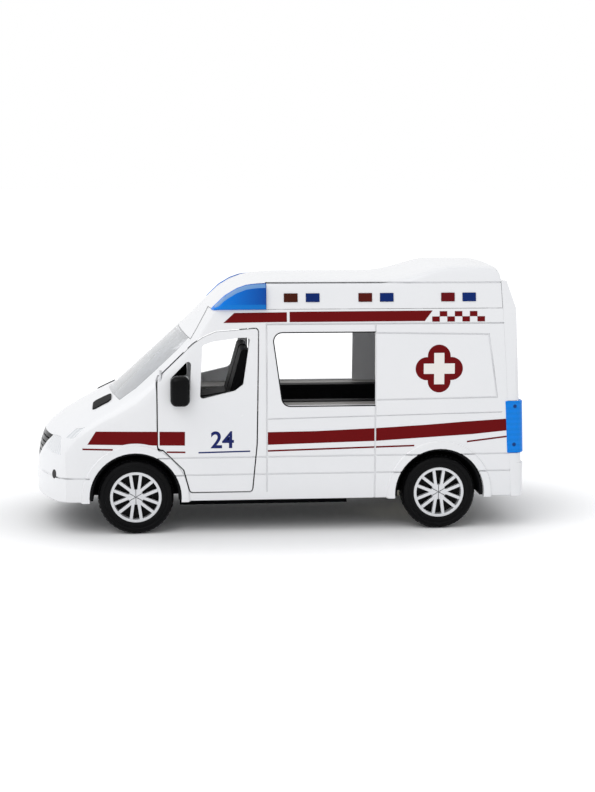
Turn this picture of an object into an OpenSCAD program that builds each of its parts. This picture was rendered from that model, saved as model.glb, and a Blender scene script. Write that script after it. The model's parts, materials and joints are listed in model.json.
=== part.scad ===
// Toy ambulance van: moulded shells on a rolling chassis with a flywheel drive.
// +X is forward, +Y the vehicle's left, +Z up, and the origin is on the ground under the middle.

/* [Body] */
// Width across the side walls
body_w = 92; // [88:1:96]
// Height of the roof crown
roof_h = 123; // [118:0.5:128]
// Rise of the rear roof fairing above the crown
fairing_h = 6.5; // [4:0.5:9]
// Height of the sill's lower edge
sill_h = 16; // [15:0.5:17]
// Wall of the white mouldings
wall = 2; // [1.6:0.1:2.4]
// How far each side leans in at the roof seam
tumble = 3.5; // [2:0.5:5]
// Radius of the nose seen from above
nose_r = 77; // [72:1:84]
// Length of the body behind the moulded sliding door
quarter_len = 74; // [70:1:78]
// Depth of the rear panel moulding
rear_depth = 6.4; // [5.6:0.2:7.2]
// Clearance between fitted mouldings
fit_gap = 0.2; // [0.1:0.05:0.3]
// Width of moulded panel lines
groove_w = 0.7; // [0.5:0.1:1]
// Depth of moulded panel lines
groove_d = 0.5; // [0.3:0.1:0.7]

/* [Wheels] */
// Distance from the nose to the front axle
front_overhang = 50; // [48:1:52]
// Distance from the rear axle to the tail
rear_overhang = 42; // [40:1:44]
// Tyre diameter
tyre_d = 36.4; // [35:0.2:37.6]
// Tyre width
tyre_w = 13; // [11:0.5:14]
// Diameter of the silver rim
rim_d = 25; // [22:0.5:27]
// Thickness of the rim's spoke plate
rim_t = 2.4; // [1.8:0.2:3]
// Diameter of the steel axles
axle_d = 3; // [2.6:0.1:3.4]
// Running clearance of an axle or shaft on its radius
run_gap = 0.06; // [0.03:0.01:0.1]
// Room between a tyre and its wheel arch
arch_gap = 3.9; // [3.2:0.1:4.8]
// Width of the raised lip round each arch
flare_w = 4.3; // [3:0.1:5]
// How far the arch lip stands proud of the side
flare_out = 0.9; // [0.5:0.1:1.2]

/* [Doors] */
// Visible gap round each opening door
door_gap = 0.6; // [0.4:0.1:0.8]
// Distance from the front axle back to the front door's leading edge
door_lead = 11; // [10:0.5:12]
// Length of the front door
door_w = 48.2; // [46:0.2:50]
// Height of the front door's lower edge
door_low = 20.7; // [19.5:0.1:22]
// Depth of the rail between the front door and the roof seam
door_head = 9; // [8:0.2:11]
// Width of the pillar between the two side doors
pillar_w = 4.1; // [3.5:0.1:5]
// Length of the moulded sliding door
slide_w = 52.7; // [50:0.1:55]
// Diameter of the door hinge pins
pin_d = 1.2; // [1:0.1:1.4]
// Depth of the hinge axis below the side wall's face
hinge_in = 1.5; // [1.4:0.1:1.8]
// Width of the post between the rear doors and a tail light
rear_post_w = 3.37; // [2.6:0.01:4.2]
// Lower edge of the rear door opening
rear_open_low = 35; // [34:0.5:37]
// Depth of the rail between the rear door opening and the roof seam
rear_head = 5.5; // [4.5:0.5:8]
// Thickness of a rear door
rear_door_t = 2.4; // [2:0.1:3]
// Diameter of the rear hinge knuckles
knuckle_d = 3; // [2.6:0.1:3.4]

/* [Interior] */
// Height of the cabin floor's upper face
floor_z = 44.6; // [44:0.2:46]
// Height of the benches' upper face above the belt line
bench_up = 1.53; // [1:0.01:2]
// Width of the aisle between the benches
aisle_w = 50; // [46:1:54]
// Sheet of the cabin floor moulding
floor_t = 1.4; // [1.2:0.1:1.8]
// Thickness of a bench pad
bench_t = 2.3; // [1.8:0.1:2.8]
// Room between a cab seat and the aisle wall
seat_side = 2.5; // [1:0.5:4]
// Diameter of the steering wheel
steer_d = 15; // [13:0.5:17]

/* [Chassis] */
// Thickness of the chassis deck
deck_t = 2; // [1.6:0.1:2.4]
// Height of the belly tray's underside
belly_z = 9; // [8:0.5:10]
// Half width of the belly tray
belly_half = 22; // [20:0.5:24]
// Length of the belly tray
belly_len = 84; // [80:1:88]
// Diameter of a button cell
cell_d = 11.6; // [11:0.1:12]
// Thickness of a button cell
cell_t = 5.4; // [5:0.1:5.6]
// Diameter of the loudspeaker
speaker_d = 25; // [23:0.5:26]
// Travel of the power switch
switch_travel = 4; // [3:0.5:4.5]

/* [Drive] */
// Tooth module of the drive gears
gear_m = 0.55; // [0.5:0.01:0.58]
// Teeth on each large gear
big_teeth = 28; // [26:1:29]
// Teeth on each pinion
small_teeth = 9; // [9:1:10]
// Face width of the gears
gear_t = 4; // [3.4:0.2:4.4]
// Diameter of the flywheel
flywheel_d = 16.4; // [15:0.2:16.6]
// Thickness of the flywheel
flywheel_t = 7; // [5:0.5:8]
// Diameter of the drive shafts
shaft_d = 2; // [1.8:0.1:2.2]
// Wall of the drive case
case_wall = 1.4; // [1.2:0.1:1.6]

/* [Hidden] */

$fn = 48;
round_steps = 12;
overrun = 5;
half_w = body_w / 2;
cab_len = front_overhang + door_lead + door_w + pillar_w;
body_len = cab_len + slide_w + quarter_len;
nose_x = body_len / 2;
tail_x = -body_len / 2;
front_axle_x = nose_x - front_overhang;
rear_axle_x = tail_x + rear_overhang;
axle_z = tyre_d / 2;
arch_r = axle_z + arch_gap;

// Places along the body are shares of its length from the middle. The cab takes this share of them.
cab_share = 0.47208;

// The roof line on the centre plane: shares of the length from the middle, and of the roof height.
roofline_shares = [
    [-0.5, 1], [-0.22, 1], [-0.03, 1], [0.025, 0.996], [0.065, 0.983], [0.104, 0.95], [0.147, 0.89],
    [0.171, 0.844], [0.202, 0.791], [0.333, 0.56], [0.342, 0.546], [0.352, 0.535], [0.388, 0.503],
    [0.417, 0.473], [0.446, 0.44], [0.467, 0.411], [0.481, 0.38], [0.49, 0.342], [0.496, 0.29],
    [0.499, 0.245], [0.5, 0.2]
];
// Share of the fairing's rise along the length.
fairing_shares = [
    [-0.5, 0], [-0.452, 0], [-0.448, 0.4], [-0.442, 0.8], [-0.433, 1], [-0.36, 1], [-0.335, 0.96],
    [-0.3, 0.65], [-0.26, 0.22], [-0.225, 0.03], [-0.2, 0], [0.5, 0]
];
// Fall of the top from the centre to the side, and shoulder radius, as shares of the half width.
crown_shares = [[-0.5, 0.035], [0.1, 0.035], [0.2, 0.05], [0.33, 0.04], [0.42, 0.05], [0.5, 0.03]];
shoulder_shares = [
    [-0.5, 0.075], [0.05, 0.07], [0.12, 0.06], [0.17, 0.1], [0.25, 0.15], [0.33, 0.15], [0.37, 0.12],
    [0.5, 0.1]
];
// Share of the nose's bow that the roof, screen and bonnet follow along the length.
bow_shares = [
    [-0.5, 0], [0.06, 0], [0.104, 0.03], [0.147, 0.3], [0.2, 0.62], [0.33, 0.66], [0.42, 0.85],
    [0.46, 1], [0.5, 1]
];
// Stations of the body's sections along the length.
station_shares = concat(
    [-0.5, -0.452, -0.448, -0.444, -0.439, -0.433],
    [for (i = [0 : 7]) mix(-0.36, -0.2, i / 7)],
    [for (i = [0 : 10]) mix(-0.03, 0.202, i / 10)],
    [for (i = [1 : 3]) mix(0.202, 0.333, i / 3)],
    [for (i = [0 : 4]) mix(0.342, 0.43, i / 4)],
    [for (i = [0 : 6]) mix(0.445, 0.4996, sin(90 * i / 6))]
);
inner_station_shares = concat(
    [-0.52, -0.36, -0.31, -0.26, -0.2],
    [for (i = [0 : 5]) mix(-0.03, 0.202, i / 5)],
    [0.27, 0.333, 0.352],
    [for (i = [0 : 4]) mix(0.41, 0.489, sin(90 * i / 4))]
);
groove_station_shares = concat(inner_station_shares, [0.496]);
// Levels up the leaning side, shoulder steps and crown steps of a section.
fine = [[0, 0.35, 0.7, 1], 4, 4];
coarse = [[0, 0.5, 1], 2, 3];

// Heights of the body's lines.
seam_share = 0.882;
seam_z = roof_h * seam_share;
gutter_share = 0.983;
gutter_z = roof_h * gutter_share;
belt_share = 0.49;
belt_z = roof_h * belt_share;
rub_shares = [0.236, 0.305];
hem_share = 0.825;
hem_z = roof_h * hem_share;
sill_r_share = 0.9;
sill_r = wall * sill_r_share;
corner_blend_share = 3;
corner_blend = wall * corner_blend_share;
bench_z = belt_z + bench_up;

// The rear face leans forward from the tail.
rear_lean = 3.2;
rear_section_share = -0.3;
header_share = 0.988;
header_z = roof_h * header_share;
header_depth_share = 0.42;
header_depth = rear_depth * header_depth_share;
rear_corner_share = 0.6;
rear_corner_r = rear_depth * rear_corner_share;

// Front door, window and hinge places.
door_front_x = front_axle_x - door_lead;
door_rear_x = door_front_x - door_w;
door_h = seam_z - door_head - door_low;
door_outline_shares = [
    [0.066, 0], [0.019, 0.293], [0, 1], [0.42, 0.981], [0.545, 0.949], [0.645, 0.907],
    [0.965, 0.718], [1, 0.676], [1, 0]
];
door_window_shares = [
    [0.077, 0.947], [0.201, 0.945], [0.458, 0.923], [0.554, 0.901], [0.581, 0.571], [0.232, 0.621],
    [0.15, 0.66]
];
quarter_shares = [[0.664, 0.831], [0.683, 0.565], [0.867, 0.533], [0.871, 0.702]];
window_r_share = 0.7;
window_r = wall * window_r_share;
hinge_back_share = 0.95;
hinge_x = door_front_x - hinge_in * hinge_back_share;
hinge_y = half_w - hinge_in;
barrel_share = 0.9;
barrel_r = hinge_in * barrel_share;
pin_low = axle_z + sqrt(pow(arch_r + flare_w, 2) - pow(front_axle_x - hinge_x, 2));
pin_high_share = 0.72;
pin_high = door_low + door_h * pin_high_share;
pin_seat_share = 1.25;
pin_seat = wall * pin_seat_share;
swing_share = 1.6;
swing_r = hinge_in * swing_share;

// Moulded sliding door, its window and the blanked rear window.
slide_front_x = door_rear_x - pillar_w;
slide_rear_x = slide_front_x - slide_w;
side_window_low_share = 0.506;
side_window_low = roof_h * side_window_low_share;
side_window_high_share = 0.791;
side_window_high = roof_h * side_window_high_share;
side_window_front_shares = [0.145, 0.055];
side_window_r_share = 1.6;
side_window_r = wall * side_window_r_share;
blank_shares = [[0, 0.789], [0.749, 0.781], [0.808, 0.532], [0, 0.526]];
crease_shares = [[0.028, 0.455], [-0.45, 0.472]];

// The roof cap's front edge and the windscreen's top and bottom edges, as shares of length and roof height.
brow_shares = [[0.142, 0.882], [0.179, 0.767], [0.235, 0.827]];
screen_shares = [[0.166, 0.753], [0.235, 0.827], [0.4, 0.561], [0.272, 0.509]];
screen_half_shares = [0.826, 0.872];
screen_t_share = 0.65;
screen_t = wall * screen_t_share;

// Beacon lens: a quarter ellipse on each side of the roof's front.
lens_x = slide_front_x;
lens_len_share = 0.2373;
lens_len = cab_len * lens_len_share;
lens_h = gutter_z - seam_z;
lens_out_share = 0.25;
lens_out = wall * lens_out_share;
lens_w_share = 0.19;
lens_w = half_w * lens_w_share;

// Marker lamps along the roof side.
marker_w = 6.6;
marker_h = 4.2;
marker_z_share = 0.927;
marker_z = roof_h * marker_z_share;
marker_depth_share = 0.5;
marker_depth = wall * marker_depth_share;
marker_out_share = 0.15;
marker_out = wall * marker_out_share;
foot_shares = [-0.43, -0.28, -0.13, 0];
red_marker_shares = [-0.021, -0.171, -0.339];
blue_marker_shares = [-0.065, -0.2145, -0.3825];

// Nose pieces: outlines across the nose as shares of the half width and the roof height.
grille_shares = [[0.59, 0.377], [0.3, 0.278]];
grille_bars = 4;
headlight_shares = [[0.62, 0.38], [1.02, 0.384], [1.02, 0.315], [0.53, 0.322]];
headlight_dart_shares = [[0.44, 0.384], [0.424, 0.413], [0.39, 0.428], [0.414, 0.386]];
fog_r = 2.2;
fog_shares = [0.83, 0.237];
vent_len = 9;
vent_w = 11;
vent_shares = [0.359, 0.61];
vent_out_share = 0.35;
vent_out = wall * vent_out_share;
bumper_share = 0.228;

// Tail lights on the rear corners, and the rear door opening between them.
tail_low_share = 0.305;
tail_low = roof_h * tail_low_share;
tail_high_share = 0.517;
tail_high = roof_h * tail_high_share;
tail_half_share = 0.845;
tail_half = half_w * tail_half_share;
rear_open_half = tail_half - rear_post_w;
rear_open_h = seam_z - rear_head - rear_open_low;
tail_t_share = 0.8;
tail_t = wall * tail_t_share;
peg_share = 0.7;
peg_r = tail_t * peg_share;
peg_rows_shares = [0.3, 0.78];

// Rear door details.
rear_window_shares = [[0.16, 0.52], [0.86, 0.93]];
handle_shares = [0.1, 0.36];
handle_len = 9;
handle_w = 2.6;
handle_out = 1.6;
rear_knuckle_shares = [[0.08, 0.2], [0.78, 0.9]];
bumper_h_share = 0.135;
bumper_h = roof_h * bumper_h_share;

// Mirror on the front door.
mirror_shares = [[0.68, 0.535], [0.875, 0.72]];
mirror_out = 6;

// Drive train: the axle gear turns a compound gear, which turns the flywheel's pinion.
big_r = gear_m * big_teeth / 2;
small_r = gear_m * small_teeth / 2;
gear_play_share = 0.16;
gear_play = gear_m * gear_play_share;
stage_share = 0.12;
stage = big_r + small_r + gear_m * stage_share;
first_angle = 22;
second_angle = -6;
mid_x = rear_axle_x + stage * cos(first_angle);
mid_z = axle_z + stage * sin(first_angle);
fly_x = mid_x + stage * cos(second_angle);
fly_z = mid_z + stage * sin(second_angle);
gear_gap = 0.5;
case_right = -(gear_t + gear_gap * 2 + case_wall);
case_split = gear_t + gear_gap;
case_left = case_split + flywheel_t + 2 * (gear_gap + case_wall);
case_front = fly_x + flywheel_d / 2 + gear_gap + case_wall;
case_rear = rear_axle_x - big_r - gear_m - gear_gap - case_wall;
lug_w = 6;
lug_t = case_wall;

// Chassis, wells and bearings.
deck_share = 0.25;
deck_z = sill_h + deck_t * deck_share;
deck_top = deck_z + deck_t;
deck_half = half_w - wall - fit_gap;
well_gap_share = 1.5;
well_r = arch_r - fit_gap * well_gap_share;
well_t_share = 0.6;
well_t = wall * well_t_share;
wheel_in_share = 0.5;
wheel_in = wall * wheel_in_share;
wheel_face_y = half_w - wheel_in;
well_room_share = 0.9;
well_room = wall * well_room_share;
well_y = wheel_face_y - tyre_w - well_room;
tab_shares = [-0.2, -0.05, 0.1];
tab_w = 3;
bearing_w = 5;
bearing_half_share = 1.6;
bearing_half = axle_d * bearing_half_share;
belly_gap = 13;
belly_x = case_front + belly_gap;
belly_t_share = 0.8;
belly_t = deck_t * belly_t_share;
cover_len_share = 0.5;
cover_len = belly_len * cover_len_share;
cover_at_share = 0.13;
cover_x = belly_x + belly_len * cover_at_share;
cover_half_share = 0.7;
cover_half = belly_half * cover_half_share;
speaker_share = 0.81;
speaker_x = belly_x + belly_len * speaker_share;
speaker_t = 5;
switch_share = 0.07;
switch_x = belly_x + belly_len * switch_share;
switch_len = 6;
switch_w = 5;
switch_knob = 2.6;
cell_gap = 1.2;
board_t = 1.6;
board_len_share = 0.9;
board_len = cover_len * board_len_share;
board_w_share = 1.3;
board_w = belly_half * board_w_share;
screw_d = 2.4;
screw_head_d = 5;
screw_head_t = 1.6;
screw_len = 12;
post_share = 1.25;
post_r = screw_d * post_share;
post_shares = [[0.105, 0.62], [-0.19, 0.42], [-0.425, 0.42]];

// Interior fittings.
cabin_rear = rear_x(floor_z) + rear_depth + wall;
cabin_front_share = 1.35;
cabin_front = front_axle_x - axle_d * cabin_front_share;
flange_share = 3;
flange_front = hinge_x - barrel_r - fit_gap * flange_share;
ledge_half = deck_half;
seat_gap = 3;
seat_w = (aisle_w - seat_gap) / 2 - seat_side;
seat_shares = [
    [0.02, 0], [0, 0.28], [-0.18, 0.98], [-0.03, 1], [0.2, 0.42], [0.72, 0.36], [0.75, 0]
];
seat_h_share = 0.345;
seat_h = roof_h * seat_h_share;
seat_len = 30;
seat_at_share = 0.16;
seat_x = door_rear_x + door_w * seat_at_share;
seat_r = 1.6;
dash_len = 14;
dash_at_share = 0.3;
dash_x = flange_front - dash_len * dash_at_share;
dash_h_share = 0.07;
dash_h = bench_z * dash_h_share;
dash_half = hinge_y - barrel_r - wall;
steer_r = 1.1;
steer_tilt = 62;
steer_y = seat_gap / 2 + seat_w / 2;
led_r = 1.5;
led_base = 5;
shelf_w = 7;
shelf_t = 1.2;
led_top_share = 0.66;
led_h = lens_h * led_top_share - fit_gap - 2 * shelf_t - board_t;

function mix(a, b, s) = a + (b - a) * s;
function smooth_min(a, b, k) =
    let (h = min(max(0.5 + 0.5 * (b - a) / k, 0), 1))
    mix(b, a, h) - k * h * (1 - h);
function segment(table, x, i = 0) =
    (i >= len(table) - 2 || x <= table[i + 1][0]) ? i : segment(table, x, i + 1);
function tangent(table, i) =
    let (a = max(i - 1, 0), b = min(i + 1, len(table) - 1))
    (table[b][1] - table[a][1]) / (table[b][0] - table[a][0]);
// A smooth curve through a table of points.
function curve(table, x) =
    let (
        i = segment(table, x),
        h = table[i + 1][0] - table[i][0],
        s = min(max((x - table[i][0]) / h, 0), 1)
    )
    (2 * pow(s, 3) - 3 * pow(s, 2) + 1) * table[i][1]
    + (3 * pow(s, 2) - 2 * pow(s, 3)) * table[i + 1][1]
    + (pow(s, 3) - 2 * pow(s, 2) + s) * h * tangent(table, i)
    + (pow(s, 3) - pow(s, 2)) * h * tangent(table, i + 1);

// The cab and the load space behind it stretch apart from each other.
function along(share) = share > 0.5 - cab_share
    ? nose_x - (0.5 - share) / cab_share * cab_len
    : tail_x + (0.5 + share) / (1 - cab_share) * (body_len - cab_len);
function share_of(x) = x > nose_x - cab_len
    ? 0.5 - (nose_x - x) / cab_len * cab_share
    : (x - tail_x) / (body_len - cab_len) * (1 - cab_share) - 0.5;
function at(share) = [along(share[0]), share[1] * roof_h];
function across(share) = [share[0] * half_w, share[1] * roof_h];
function on_door(share) = [door_rear_x + share[0] * door_w, door_low + share[1] * door_h];
function top_z(x) =
    roof_h * curve(roofline_shares, share_of(x)) + fairing_h * curve(fairing_shares, share_of(x));
function top_angle(x) = atan2(top_z(x - wall / 4) - top_z(x + wall / 4), wall / 2);
function half_width(x) =
    let (d = min(max(nose_x - x, 0), nose_r))
    smooth_min(half_w, sqrt(2 * nose_r * d - d * d), corner_blend);
function lean_in(z) = tumble * pow(max(z - belt_z, 0) / (seam_z - belt_z), 2);
function lean_angle(z) = atan2(lean_in(z + wall / 2) - lean_in(z - wall / 2), wall);
function rear_x(z) = tail_x + (z - sill_h) * tan(rear_lean);
// Fall of the top from the centre plane out to y: its crown, and the bow it shares with the nose.
function sag(x, y) =
    let (
        bow = nose_r - sqrt(max(pow(nose_r, 2) - pow(y, 2), 0)),
        x2 = min(x + curve(bow_shares, share_of(x)) * bow, nose_x)
    )
    top_z(x) - top_z(x2) + half_w * curve(crown_shares, share_of(x)) * pow(y / half_w, 2);
function bend(a, c, b, s) = pow(1 - s, 2) * a + 2 * s * (1 - s) * c + pow(s, 2) * b;

// One half of a section, from the bottom centre round the side to the top centre, set in by t.
function half_section(x, t, counts) =
    let (
        a = top_angle(x),
        hw = half_width(min(x + t, nose_x)) - t,
        zt = top_z(min(x + t * sin(a), nose_x)) - t * cos(a),
        zb = sill_h - (t > groove_d ? overrun : 0),
        yc = hw - lean_in(zt - sag(x, hw - lean_in(zt))),
        zc = zt - sag(x, yc),
        r = min(half_w * curve(shoulder_shares, share_of(x)), 0.45 * yc, 0.45 * (zc - zb)),
        rb = min(sill_r, 0.3 * (zc - zb)),
        start = [yc - r, zt - sag(x, yc - r)],
        end = [hw - lean_in(zc - r), zc - r]
    )
    concat(
        [[0, zb]],
        [for (i = [0 : 2]) bend([hw - rb, zb], [hw, zb], [hw, zb + rb], i / 2)],
        [for (s = counts[0]) let (z = mix(belt_z, gutter_z, s)) if (z < zc - r) [hw - lean_in(z), z]],
        [for (i = [0 : counts[1]]) bend(end, [yc, zc], start, i / counts[1])],
        [for (i = [1 : counts[2]]) let (y = mix(yc - r, 0, i / counts[2])) [y, zt - sag(x, y)]]
    );
function section(x, t, counts) =
    let (h = half_section(x, t, counts), n = len(h))
    concat(h, [for (i = [n - 2 : -1 : 1]) [-h[i][0], h[i][1]]]);

// Two neighbouring sections, which a hull then joins.
module section_pair(xa, xb, t, counts) {
    a = section(xa, t, counts);
    b = section(xb, t, counts);
    polyhedron(
        points = concat([for (p = a) [xa, p[0], p[1]]], [for (p = b) [xb, p[0], p[1]]]),
        faces = [[for (i = [len(a) - 1 : -1 : 0]) i], [for (i = [0 : len(b) - 1]) len(a) + i]]
    );
}

// The whole body form: a loft through its sections, set in by t.
module body_form(t = 0, stations = station_shares, counts = fine) {
    for (i = [0 : len(stations) - 2])
        hull() section_pair(along(stations[i]), along(stations[i + 1]), t, counts);
}
module cavity(t = wall) { body_form(t, inner_station_shares, coarse); }
module skin(t = wall) {
    difference() {
        body_form();
        cavity(t);
    }
}

// Prisms: side outlines are drawn in X and Z, front outlines in Y and Z, plan outlines in X and Y.
module side_prism(y0, y1) { translate([0, y1, 0]) rotate([90, 0, 0]) linear_extrude(y1 - y0) children(); }
module front_prism(x0, x1) { translate([x0, 0, 0]) rotate([90, 0, 90]) linear_extrude(x1 - x0) children(); }
module both_sides() {
    children();
    mirror([0, 1, 0]) children();
}
module on_side(side) {
    if (side > 0) children();
    else mirror([0, 1, 0]) children();
}
module rounded(r) { offset(r, $fn = round_steps) offset(-r, $fn = round_steps) children(); }
module line(a, b, w) {
    d = b - a;
    translate(a) rotate(atan2(d[1], d[0])) translate([-w / 2, -w / 2]) square([norm(d) + w, w]);
}
module outline(points, w) {
    for (i = [0 : len(points) - 1]) line(points[i], points[(i + 1) % len(points)], w);
}

// Side outlines.
module door_outline(grow) {
    offset(grow, $fn = round_steps) rounded(window_r) difference() {
        polygon([for (s = door_outline_shares) on_door(s)]);
        translate([front_axle_x, axle_z]) circle(arch_r + flare_w + door_gap);
    }
}
module roof_outline(grow) {
    low = [for (s = brow_shares) at(s)];
    offset(grow) polygon([
        [tail_x - overrun, seam_z], low[0], low[1], low[2],
        [low[2][0], 2 * roof_h], [tail_x - overrun, 2 * roof_h]
    ]);
}
module side_window_outline() {
    front = [for (s = side_window_front_shares) slide_front_x - s * slide_w];
    union() {
        rounded(side_window_r) polygon([
            [slide_rear_x, side_window_low], [front[0], side_window_low],
            [front[1], side_window_high], [slide_rear_x, side_window_high]
        ]);
        translate([slide_rear_x, side_window_low])
            square([slide_w / 2, side_window_high - side_window_low]);
    }
}
module screen_zone(grow) {
    intersection() {
        side_prism(-half_w, half_w) offset(grow) polygon([for (s = screen_shares) at(s)]);
        linear_extrude(2 * roof_h) offset(grow) polygon([
            [at(screen_shares[0])[0] - overrun, half_w * screen_half_shares[0]],
            [at(screen_shares[2])[0], half_w * screen_half_shares[1]],
            [at(screen_shares[2])[0], -half_w * screen_half_shares[1]],
            [at(screen_shares[0])[0] - overrun, -half_w * screen_half_shares[0]]
        ]);
    }
}
module rear_zone(depth) {
    side_prism(-body_w, body_w) polygon([
        [rear_x(0) + depth, 0], [rear_x(2 * roof_h) + depth, 2 * roof_h],
        [tail_x - body_len, 2 * roof_h], [tail_x - body_len, 0]
    ]);
}

// Panel lines, drawn on the side and pressed into the surface to the groove depth.
module side_lines() {
    top = hem_z;
    line([slide_front_x, door_low], [slide_front_x, top], groove_w);
    line([slide_rear_x, sill_h], [slide_rear_x, top], groove_w);
    line([slide_front_x, top], [rear_x(top) + rear_depth, top], groove_w);
    outline([for (s = blank_shares) [mix(slide_rear_x, tail_x, s[0]), s[1] * roof_h]], groove_w);
    line(at(crease_shares[0]), at(crease_shares[1]), groove_w * 0.7);
    for (s = rub_shares) line([tail_x, s * roof_h], [door_front_x, s * roof_h], groove_w);
    line([front_axle_x + arch_r, bumper_share * roof_h], [nose_x, bumper_share * roof_h], groove_w);
    line([tail_x, gutter_z], [lens_x, gutter_z], groove_w);
}
module pressed(t = groove_d) {
    difference() {
        children();
        body_form(t, groove_station_shares, coarse);
    }
}
module arch_lip() {
    for (x = [front_axle_x, rear_axle_x]) translate([x, 0, axle_z]) difference() {
        translate([0, half_w + flare_out, 0]) rotate([90, 0, 0])
            cylinder(r1 = arch_r + flare_w - flare_out, r2 = arch_r + flare_w, h = flare_out + wall / 2);
        translate([-body_len, 0, -body_len - axle_z + sill_h]) cube([2 * body_len, body_w, body_len]);
    }
}
module arches() {
    for (x = [front_axle_x, rear_axle_x]) translate([x, body_w, axle_z]) rotate([90, 0, 0])
        cylinder(r = arch_r, h = 2 * body_w);
}
module hinge_bosses() {
    r = pin_d / 2 + wall / 2;
    for (z = [pin_low - pin_seat - wall / 2, pin_high]) translate([hinge_x, hinge_y, z])
        cylinder(r = r, h = pin_seat + wall / 2, $fn = 2 * round_steps);
}
module hinge_room() {
    translate([hinge_x, hinge_y, pin_low - door_gap])
        cylinder(r = swing_r, h = pin_high - pin_low + door_gap, $fn = 2 * round_steps);
    translate([hinge_x, hinge_y, pin_low - pin_seat])
        cylinder(d = pin_d, h = pin_high - pin_low + 2 * pin_seat, $fn = 4 * round_steps);
}
module grille_outline() {
    top = across(grille_shares[0]);
    foot = across(grille_shares[1]);
    polygon([top, [-top[0], top[1]], [-foot[0], foot[1]], foot]);
}
module grille_zone() { front_prism(half_w, nose_x + overrun) grille_outline(); }
module headlight_zone() {
    front_prism(at(headlight_dart_shares[0])[0], nose_x + overrun)
        rounded(window_r) polygon([for (s = headlight_shares) across(s)]);
    side_prism(half_w - wall - corner_blend / 2, body_w) polygon([for (s = headlight_dart_shares) at(s)]);
}
module fog_zone() {
    both_sides() translate([half_w, fog_shares[0] * half_w, fog_shares[1] * roof_h])
        rotate([0, 90, 0]) cylinder(r = fog_r, h = nose_x, $fn = 2 * round_steps);
}
module vent_zone() {
    both_sides() translate([along(vent_shares[0]), vent_shares[1] * half_w, belt_z / 2])
        linear_extrude(roof_h) offset(vent_len / 4, $fn = 2 * round_steps)
            square([vent_len / 2, vent_w - vent_len / 2], center = true);
}

// White shells.
module body_shell() {
    color("white") difference() {
        union() {
            skin();
            both_sides() arch_lip();
            both_sides() intersection() {
                hinge_bosses();
                body_form();
            }
        }
        side_prism(-body_w, body_w) roof_outline(0);
        screen_zone(0);
        rear_zone(rear_depth);
        arches();
        both_sides() {
            side_prism(half_w / 2, body_w) door_outline(door_gap);
            hinge_room();
            side_prism(half_w / 2, body_w) side_window_outline();
            headlight_zone();
        }
        grille_zone();
        fog_zone();
        vent_zone();
        both_sides() pressed() side_prism(half_w / 2, body_w) side_lines();
    }
}
module roof_cap() {
    color("white") difference() {
        union() {
            difference() {
                intersection() {
                    body_form();
                    side_prism(-body_w, body_w) roof_outline(-fit_gap);
                }
                difference() {
                    cavity();
                    rear_zone(rear_depth + fit_gap + wall);
                }
                both_sides() lens_zone();
            }
            both_sides() led_shelf();
            both_sides() roof_feet();
        }
        rear_zone(rear_depth + fit_gap);
        both_sides() {
            for (s = concat(red_marker_shares, blue_marker_shares)) marker_block(s);
            pressed() side_prism(half_w / 2, body_w) side_lines();
        }
    }
}
// Feet that hold the roof cap's edge off the shell's, so that the seam shows.
module roof_feet() {
    y = half_w - lean_in(seam_z) - wall / 2;
    for (s = foot_shares) translate([along(s) - wall, y - wall / 4, seam_z])
        cube([2 * wall, wall / 2, wall]);
}
module windscreen() {
    color("lightgray", 0.5) intersection() {
        skin(screen_t);
        screen_zone(0);
    }
}

// Lamps on the roof.
module lens_zone() {
    side_prism(half_w - lens_w, body_w) translate([lens_x, seam_z]) intersection() {
        scale([lens_len, lens_h]) circle(1);
        square(2 * lens_len);
    }
}
module beacon_lens(side) {
    color("royalblue", 0.8) on_side(side) intersection() {
        difference() {
            body_form(-lens_out);
            cavity();
        }
        lens_zone();
    }
}
module beacon_lens_left() { beacon_lens(1); }
module beacon_lens_right() { beacon_lens(-1); }
module marker_block(share) {
    y = half_w - lean_in(marker_z);
    translate([along(share), y, marker_z]) rotate([lean_angle(marker_z), 0, 0])
        translate([-marker_w / 2, -marker_depth, -marker_h / 2])
            cube([marker_w, marker_depth + marker_out, marker_h]);
}
module marker_lenses_red() { color("firebrick") both_sides() for (s = red_marker_shares) marker_block(s); }
module marker_lenses_blue() { color("navy") both_sides() for (s = blue_marker_shares) marker_block(s); }
module led_place(side) {
    y = half_w - lean_in(seam_z) - wall - shelf_t - shelf_w / 2;
    translate([lens_x + lens_len / 3, side * y, seam_z + fit_gap + 2 * shelf_t]) children();
}
module led_shelf() {
    reach = lens_len / 3 + led_base;
    led_place(1) translate([-reach, -shelf_w / 2, -shelf_t]) cube([reach + led_base, shelf_w, shelf_t]);
    led_place(1) translate([-reach, -shelf_w / 2, -shelf_t])
        cube([led_base - 2 * fit_gap, shelf_w + wall + shelf_t / 2, shelf_t]);
}
module beacon_leds() {
    color("ghostwhite") for (side = [-1, 1]) led_place(side) {
        translate([-led_base / 2, -led_base / 2, 0]) cube([led_base, led_base, board_t]);
        translate([0, 0, board_t]) cylinder(r = led_r, h = led_h - led_r);
        translate([0, 0, board_t + led_h - led_r]) sphere(led_r);
    }
}

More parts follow.
